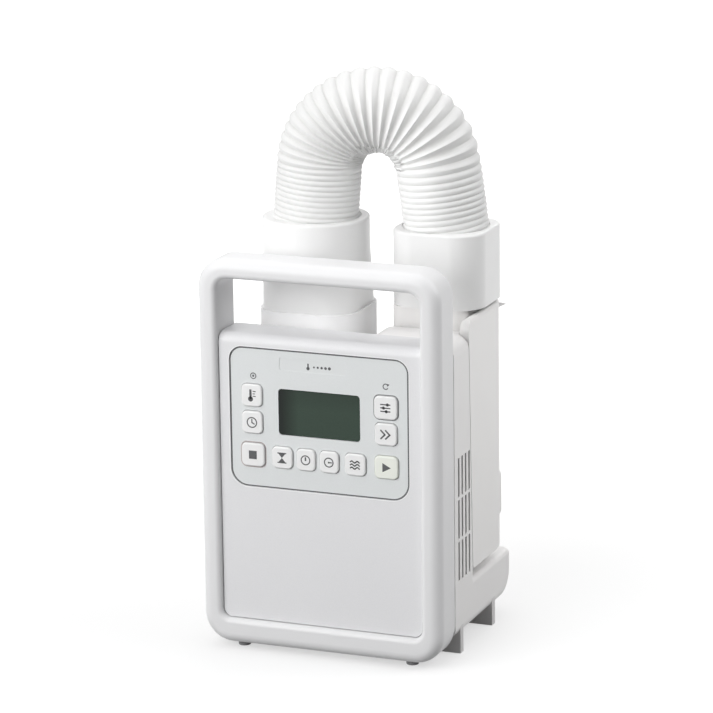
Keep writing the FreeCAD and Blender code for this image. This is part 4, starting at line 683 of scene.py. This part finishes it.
    smooth = tree.nodes.new("GeometryNodeSetShadeSmooth")
    link(fold.outputs["Geometry"], smooth.inputs["Geometry"])
    solid = tree.nodes.new("GeometryNodeRealizeInstances")
    link(smooth.outputs["Geometry"], solid.inputs["Geometry"])
    paint = tree.nodes.new("GeometryNodeSetMaterial")
    link(solid.outputs["Geometry"], paint.inputs["Geometry"])
    link(into.outputs["Material"], paint.inputs["Material"])
    link(paint.outputs["Geometry"], out.inputs["Hose"])
    return tree


def set_inputs(modifier, **values):
    """Sets a tree's named inputs on its modifier."""
    for item in modifier.node_group.interface.items_tree:
        key = item.name.replace(" ", "_")
        if item.item_type == "SOCKET" and item.in_out == "INPUT" and key in values:
            modifier[item.identifier] = values[key]


def shaped_piece(name, build, material):
    """Mesh object from a worked-out shape, in one finish."""
    mesh = bpy.data.meshes.new(name)
    build.to_mesh(mesh)
    build.free()
    mesh.materials.append(material)
    piece = bpy.data.objects.new(name, mesh)
    scene.collection.objects.link(piece)
    return piece


def plain_mesh(obj, name):
    """Finished mesh object from one whose tree or modifiers are evaluated."""
    bpy.context.view_layer.update()
    ready = obj.evaluated_get(bpy.context.evaluated_depsgraph_get())
    mesh = bpy.data.meshes.new_from_object(ready)
    mesh.name = name
    piece = bpy.data.objects.new(name, mesh)
    scene.collection.objects.link(piece)
    bpy.data.objects.remove(obj)
    return piece


def make_hose():
    """Pleated tube in place of the plain hose, stretched between the case and the nozzle."""
    curve = bpy.data.curves.new("hose_route", "CURVE")
    curve.dimensions = "3D"
    curve.resolution_u = 24
    spline = curve.splines.new("NURBS")
    spline.points.add(len(HOSE_ROUTE) - 1)
    for point, (along, height) in zip(spline.points, HOSE_ROUTE):
        place = HOSE_MIDDLE + HOSE_ALONG * along * MM + Vector((0, 0, height * MM))
        point.co = (*place, 1.0)
    spline.order_u = 3
    spline.use_endpoint_u = True
    route = bpy.data.objects.new("hose_route", curve)
    scene.collection.objects.link(route)
    modifier = route.modifiers.new("ribs", "NODES")
    modifier.node_group = hose_tree()
    centre = HOSE_MIDDLE + Vector((0, 0, HOSE_BEND_HEIGHT))
    set_inputs(modifier, Material=HOSE_PLASTIC, Bend_Centre=centre, Bend_Across=HOSE_ALONG)
    hose = plain_mesh(route, "ribbed_hose")
    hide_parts("hose")
    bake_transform(hose)


def hose_seal(name, along, height, body):
    """Soft lip that closes the gap between the hose and the sleeve it stands in."""
    foot = HOSE_MIDDLE + HOSE_ALONG * along * MM + Vector((0, 0, height * MM))
    build = bmesh.new()
    rings = []
    for i in range(SEAL_SIDES):
        angle = 2 * math.pi * i / SEAL_SIDES
        ray = Vector((math.cos(angle), math.sin(angle), 0))
        corners = [foot + (ray * r + Vector((0, 0, z))) * MM for r, z in SEAL_PROFILE]
        rings.append([build.verts.new(corner) for corner in corners])
    for i in range(SEAL_SIDES):
        here, there = rings[i], rings[(i + 1) % SEAL_SIDES]
        for j in range(len(SEAL_PROFILE)):
            k = (j + 1) % len(SEAL_PROFILE)
            face = build.faces.new((here[j], there[j], there[k], here[k]))
            face.smooth = True
    bmesh.ops.recalc_face_normals(build, faces=build.faces)
    piece = shaped_piece(name, build, SEAL_WHITE)
    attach(piece, body)


make_hose()
hose_seal("seal_cuff", *CUFF_RIM, "case")
hose_seal("seal_collar", *COLLAR_RIM, "nozzle")


# Printed marks: flat shapes given by corners in millimetres round the mark's centre
def stroke(points, width):
    """Outlines of a line of even width through the points."""
    shapes = []
    for (x0, z0), (x1, z1) in zip(points, points[1:]):
        along = Vector((x1 - x0, z1 - z0))
        side = Vector((-along.y, along.x)).normalized() * width / 2
        reach = along.normalized() * width / 2
        a = Vector((x0, z0)) - reach
        b = Vector((x1, z1)) + reach
        shapes.append([a - side, b - side, b + side, a + side])
    return shapes


def disc(x, z, radius, count=24):
    """Outline of a filled circle."""
    steps = [2 * math.pi * i / count for i in range(count)]
    return [Vector((x + radius * math.cos(t), z + radius * math.sin(t))) for t in steps]


def arc_stroke(x, z, radius, width, start=0.0, end=360.0, count=36):
    """Outlines that make up a ring or part of one."""
    near, far = radius - width / 2, radius + width / 2
    shapes = []
    for i in range(count):
        a = math.radians(start + (end - start) * i / count)
        b = math.radians(start + (end - start) * (i + 1) / count)
        corners = []
        for angle, reach in ((a, near), (a, far), (b, far), (b, near)):
            corners.append(Vector((x + reach * math.cos(angle), z + reach * math.sin(angle))))
        shapes.append(corners)
    return shapes


def polygon(*corners):
    """Outline from plain corners."""
    return [Vector(corner) for corner in corners]


def rounded_ring(width, height, top_corner, low_corner, line):
    """Outlines that make up a rounded frame of even line width, drawn inside its outer size."""
    steps = 10

    def edge(inset):
        """Corner points of the frame's outline, drawn in by the inset."""
        loop = []
        for turn, (sx, sz) in enumerate(((1, 1), (-1, 1), (-1, -1), (1, -1))):
            corner = top_corner if sz > 0 else low_corner
            radius = corner - inset
            for i in range(steps + 1):
                angle = math.pi / 2 * (turn + i / steps)
                x = sx * (width / 2 - corner) + radius * math.cos(angle)
                z = sz * (height / 2 - corner) + radius * math.sin(angle)
                loop.append(Vector((x, z)))
        return loop

    outer = edge(0.0)
    inner = edge(line)
    shapes = []
    for i in range(len(outer)):
        j = (i + 1) % len(outer)
        shapes.append([outer[i], outer[j], inner[j], inner[i]])
    return shapes


def wave_line(z, width):
    """Outlines of one rising-air wave."""
    points = [(-3.0 + 6.0 * i / 16, z + 0.55 * math.sin(2 * math.pi * i / 10)) for i in range(17)]
    return stroke(points, width)


def printed_mark(name, shapes, x, z, face, body, material):
    """Ink shapes as one thin piece on an upright front face."""
    build = bmesh.new()
    for shape in shapes:
        sides = []
        for y in (face - INK_THICKNESS, face + INK_THICKNESS):
            sides.append([build.verts.new(((x + p.x) * MM, y, (z + p.y) * MM)) for p in shape])
        front, back = sides
        build.faces.new(front)
        build.faces.new(list(reversed(back)))
        for i in range(len(front)):
            j = (i + 1) % len(front)
            build.faces.new((front[j], front[i], back[i], back[j]))
    bmesh.ops.recalc_face_normals(build, faces=build.faces)
    piece = shaped_piece(name, build, material)
    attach(piece, body)


# Pictograms on the keys, with the width of their usual line
LINE = 0.75
KEY_MARKS = {
    "key_temperature": stroke([(-0.6, 3.2), (-0.6, -1.4)], 1.5)
    + [disc(-0.6, -2.3, 1.7)]
    + stroke([(1.2, 2.8), (2.6, 2.8)], 0.6)
    + stroke([(1.2, 1.2), (2.1, 1.2)], 0.6)
    + stroke([(1.2, -0.4), (2.6, -0.4)], 0.6),
    "key_time": arc_stroke(0, 0, 3.2, LINE) + stroke([(0, 2.0), (0, 0), (1.5, -0.9)], LINE),
    "key_stop": [polygon((-2.7, -2.7), (2.7, -2.7), (2.7, 2.7), (-2.7, 2.7))],
    "key_reserve": [polygon((-2.4, 2.9), (0, 0), (2.4, 2.9)), polygon((-2.4, -2.9), (2.4, -2.9), (0, 0))]
    + stroke([(-2.7, 3.1), (2.7, 3.1)], 0.7)
    + stroke([(-2.7, -3.1), (2.7, -3.1)], 0.7),
    "key_hour": arc_stroke(0, 0, 2.9, LINE) + stroke([(0, 0), (0, 1.5)], 1.0),
    "key_minute": arc_stroke(0, 0, 2.9, LINE) + stroke([(0, 0), (1.9, 0)], 0.7) + [disc(0, 0, 0.6)],
    "key_keep_warm": wave_line(2.0, LINE) + wave_line(0.0, LINE) + wave_line(-2.0, LINE),
    "key_start": [polygon((-2.4, -3.0), (3.2, 0.0), (-2.4, 3.0))],
    "key_turbo": stroke([(-3.0, 2.6), (-0.4, 0), (-3.0, -2.6)], 1.0)
    + stroke([(0.2, 2.6), (2.8, 0), (0.2, -2.6)], 1.0),
    "key_mode": stroke([(-3.0, 2.2), (3.0, 2.2)], LINE)
    + stroke([(-3.0, 0), (3.0, 0)], LINE)
    + stroke([(-3.0, -2.2), (3.0, -2.2)], LINE)
    + [disc(1.4, 2.2, 1.0), disc(-1.2, 0, 1.0), disc(0.6, -2.2, 1.0)],
}
for name, shapes in KEY_MARKS.items():
    x, z = KEY_CENTRES[name]
    printed_mark("mark_" + name, shapes, x, z, KEY_FACE, name, MARK_INK)

# Marks on the plate: by hand, by itself, and the temperature sign, with rings round two keys
LEFT_MARK = arc_stroke(0, 0, 1.8, 0.6) + [disc(0, 0, 0.75)]
RIGHT_MARK = arc_stroke(0, 0, 1.7, 0.6, 40, 330) + [polygon((0.6, 1.9), (2.6, 1.5), (1.2, 0.2))]
SIGN_MARK = stroke([(-7.0, 1.6), (-7.0, -0.4)], 1.0) + [disc(-7.0, -1.1, 1.1)]
for step in range(5):
    SIGN_MARK.append(disc(-3.0 + 2.6 * step, 0, 0.62 + 0.1 * step))
STOP_RING = rounded_ring(17.4, 16.8, 4.2, 4.2, 0.42)
MODE_RING = rounded_ring(17.0, 16.4, 4.1, 4.1, 0.34)
printed_mark("mark_by_hand", LEFT_MARK, -45.0, 181.4, PLATE_FACE, "case", MARK_INK)
printed_mark("mark_by_itself", RIGHT_MARK, 44.4, 182.0, PLATE_FACE, "case", MARK_INK)
printed_mark("mark_sign", SIGN_MARK, -0.7, 190.2, SIGN_FACE, "case", MARK_INK)
printed_mark("ring_stop", STOP_RING, *KEY_CENTRES["key_stop"], PLATE_FACE, "case", RING_ROSE)
printed_mark("ring_mode", MODE_RING, *KEY_CENTRES["key_mode"], PLATE_FACE, "case", RING_GREY)

# Seams: the shaded gap round the control plate with a painted highlight along the panel's edge round it,
# the gap round the panel, the lens's edge
SEAM_PATH = [(-68.05, 204.0), (-68.05, 27.0)]
SEAM_PATH += [(-62.3 + 5.75 * math.cos(t), 26.4 + 5.75 * math.sin(t)) for t in (3.4, 3.8, 4.2, 4.5)]
SEAM_PATH += [(-x, z) for x, z in reversed(SEAM_PATH)]
CONTROL_GAP = rounded_ring(121.1, 91.3, 9.05, 11.55, 1.05)
# Painted highlight: a pale line where the edge of the panel's opening catches the light
CONTROL_HIGHLIGHT = rounded_ring(122.3, 92.5, 9.65, 12.15, 0.55)
LENS_EDGE = rounded_ring(45.2, 8.2, 1.5, 1.5, 0.3)
printed_mark("gap_control", CONTROL_GAP, -0.8, 154.4, PLATE_FACE, "case", SEAM_SHADE)
printed_mark("rim_control", CONTROL_HIGHLIGHT, -0.6, 154.5, PANEL_FACE, "case", HIGHLIGHT_PALE)
printed_mark("seam_panel", stroke(SEAM_PATH, 0.52), 0.0, 0.0, SEAM_FACE, "case", SEAM_SHADE)
printed_mark("seal_sign", LENS_EDGE, -4.6, 190.6, SIGN_FACE, "case", SILVER_PLATE)


# Studio: pale floor, soft lamps and the photograph's camera
def make_floor():
    """Pale floor that shades under the object and runs into white further off."""
    material, tree, shader = start_material("studio floor")
    shader.inputs["Roughness"].default_value = 0.85
    shader.inputs["Specular IOR Level"].default_value = 0.1
    ray = tree.nodes.new("ShaderNodeLightPath")
    seen = math_node(tree, "MAXIMUM", ray.outputs["Is Camera Ray"], ray.outputs["Is Glossy Ray"])
    seen = math_node(tree, "MAXIMUM", seen, ray.outputs["Is Transmission Ray"])
    ground = mix_colour(tree, seen, FLOOR_BOUNCE, FLOOR_SEEN)
    tree.links.new(ground, shader.inputs["Base Color"])
    shader.inputs["Emission Color"].default_value = WHITE
    distance = vector_node(tree, "LENGTH", own_place(tree)).outputs["Value"]
    glow = map_range(tree, distance, *FLOOR_GLOW_REACH, *FLOOR_GLOW, smooth=True)
    tree.links.new(math_node(tree, "MULTIPLY", seen, glow), shader.inputs["Emission Strength"])
    build = bmesh.new()
    bmesh.ops.create_grid(build, x_segments=1, y_segments=1, size=FLOOR_HALF_SIZE)
    floor = shaped_piece("studio_floor", build, material)


def make_world():
    """White surroundings to the eye, with softer light that falls off towards the dark side."""
    world = bpy.data.worlds.new("studio")
    scene.world = world
    world.use_nodes = True
    tree = world.node_tree
    tree.nodes.clear()
    out = tree.nodes.new("ShaderNodeOutputWorld")
    ray = tree.nodes.new("ShaderNodeLightPath")
    seen = math_node(tree, "MAXIMUM", ray.outputs["Is Camera Ray"], ray.outputs["Is Transmission Ray"])
    where = tree.nodes.new("ShaderNodeTexCoord")
    toward = vector_node(tree, "DOT_PRODUCT", where.outputs["Generated"], DARK_SIDE)
    dark = AMBIENT * DARK_SIDE_SHARE
    shade = map_range(tree, toward.outputs["Value"], *DARK_SIDE_EDGES, AMBIENT, dark, smooth=True)
    soft = add_node(tree, "ShaderNodeBackground", Color=WHITE)
    tree.links.new(shade, soft.inputs["Strength"])
    plain = add_node(tree, "ShaderNodeBackground", Color=WHITE, Strength=1.0)
    mix = tree.nodes.new("ShaderNodeMixShader")
    tree.links.new(seen, mix.inputs[0])
    tree.links.new(soft.outputs[0], mix.inputs[1])
    tree.links.new(plain.outputs[0], mix.inputs[2])
    tree.links.new(mix.outputs[0], out.inputs["Surface"])


def soft_lamp(name, place, width, height, power):
    """Large soft lamp aimed at the object."""
    data = bpy.data.lights.new(name, "AREA")
    data.shape = "RECTANGLE"
    data.size = width
    data.size_y = height
    data.energy = power
    lamp = bpy.data.objects.new(name, data)
    lamp.location = place
    lamp.rotation_euler = (Vector(LAMP_TARGET) - Vector(place)).to_track_quat("-Z", "Y").to_euler()
    scene.collection.objects.link(lamp)


def make_camera():
    """The photograph's camera."""
    data = bpy.data.cameras.new("photo_camera")
    data.lens = CAMERA_LENS
    data.sensor_width = CAMERA_SENSOR
    data.clip_end = CAMERA_FAR
    camera = bpy.data.objects.new("photo_camera", data)
    turn = Matrix.Rotation(math.radians(CAMERA_TURN), 4, "Z")
    tilt = Matrix.Rotation(math.radians(90.0 - CAMERA_DIP), 4, "X")
    roll = Matrix.Rotation(math.radians(CAMERA_ROLL), 4, "Z")
    camera.matrix_world = Matrix.Translation(CAMERA_PLACE) @ turn @ tilt @ roll
    scene.collection.objects.link(camera)
    scene.camera = camera


make_floor()
make_world()
for name, place, width, height, power in LAMPS:
    soft_lamp(name, place, width, height, power)
make_camera()
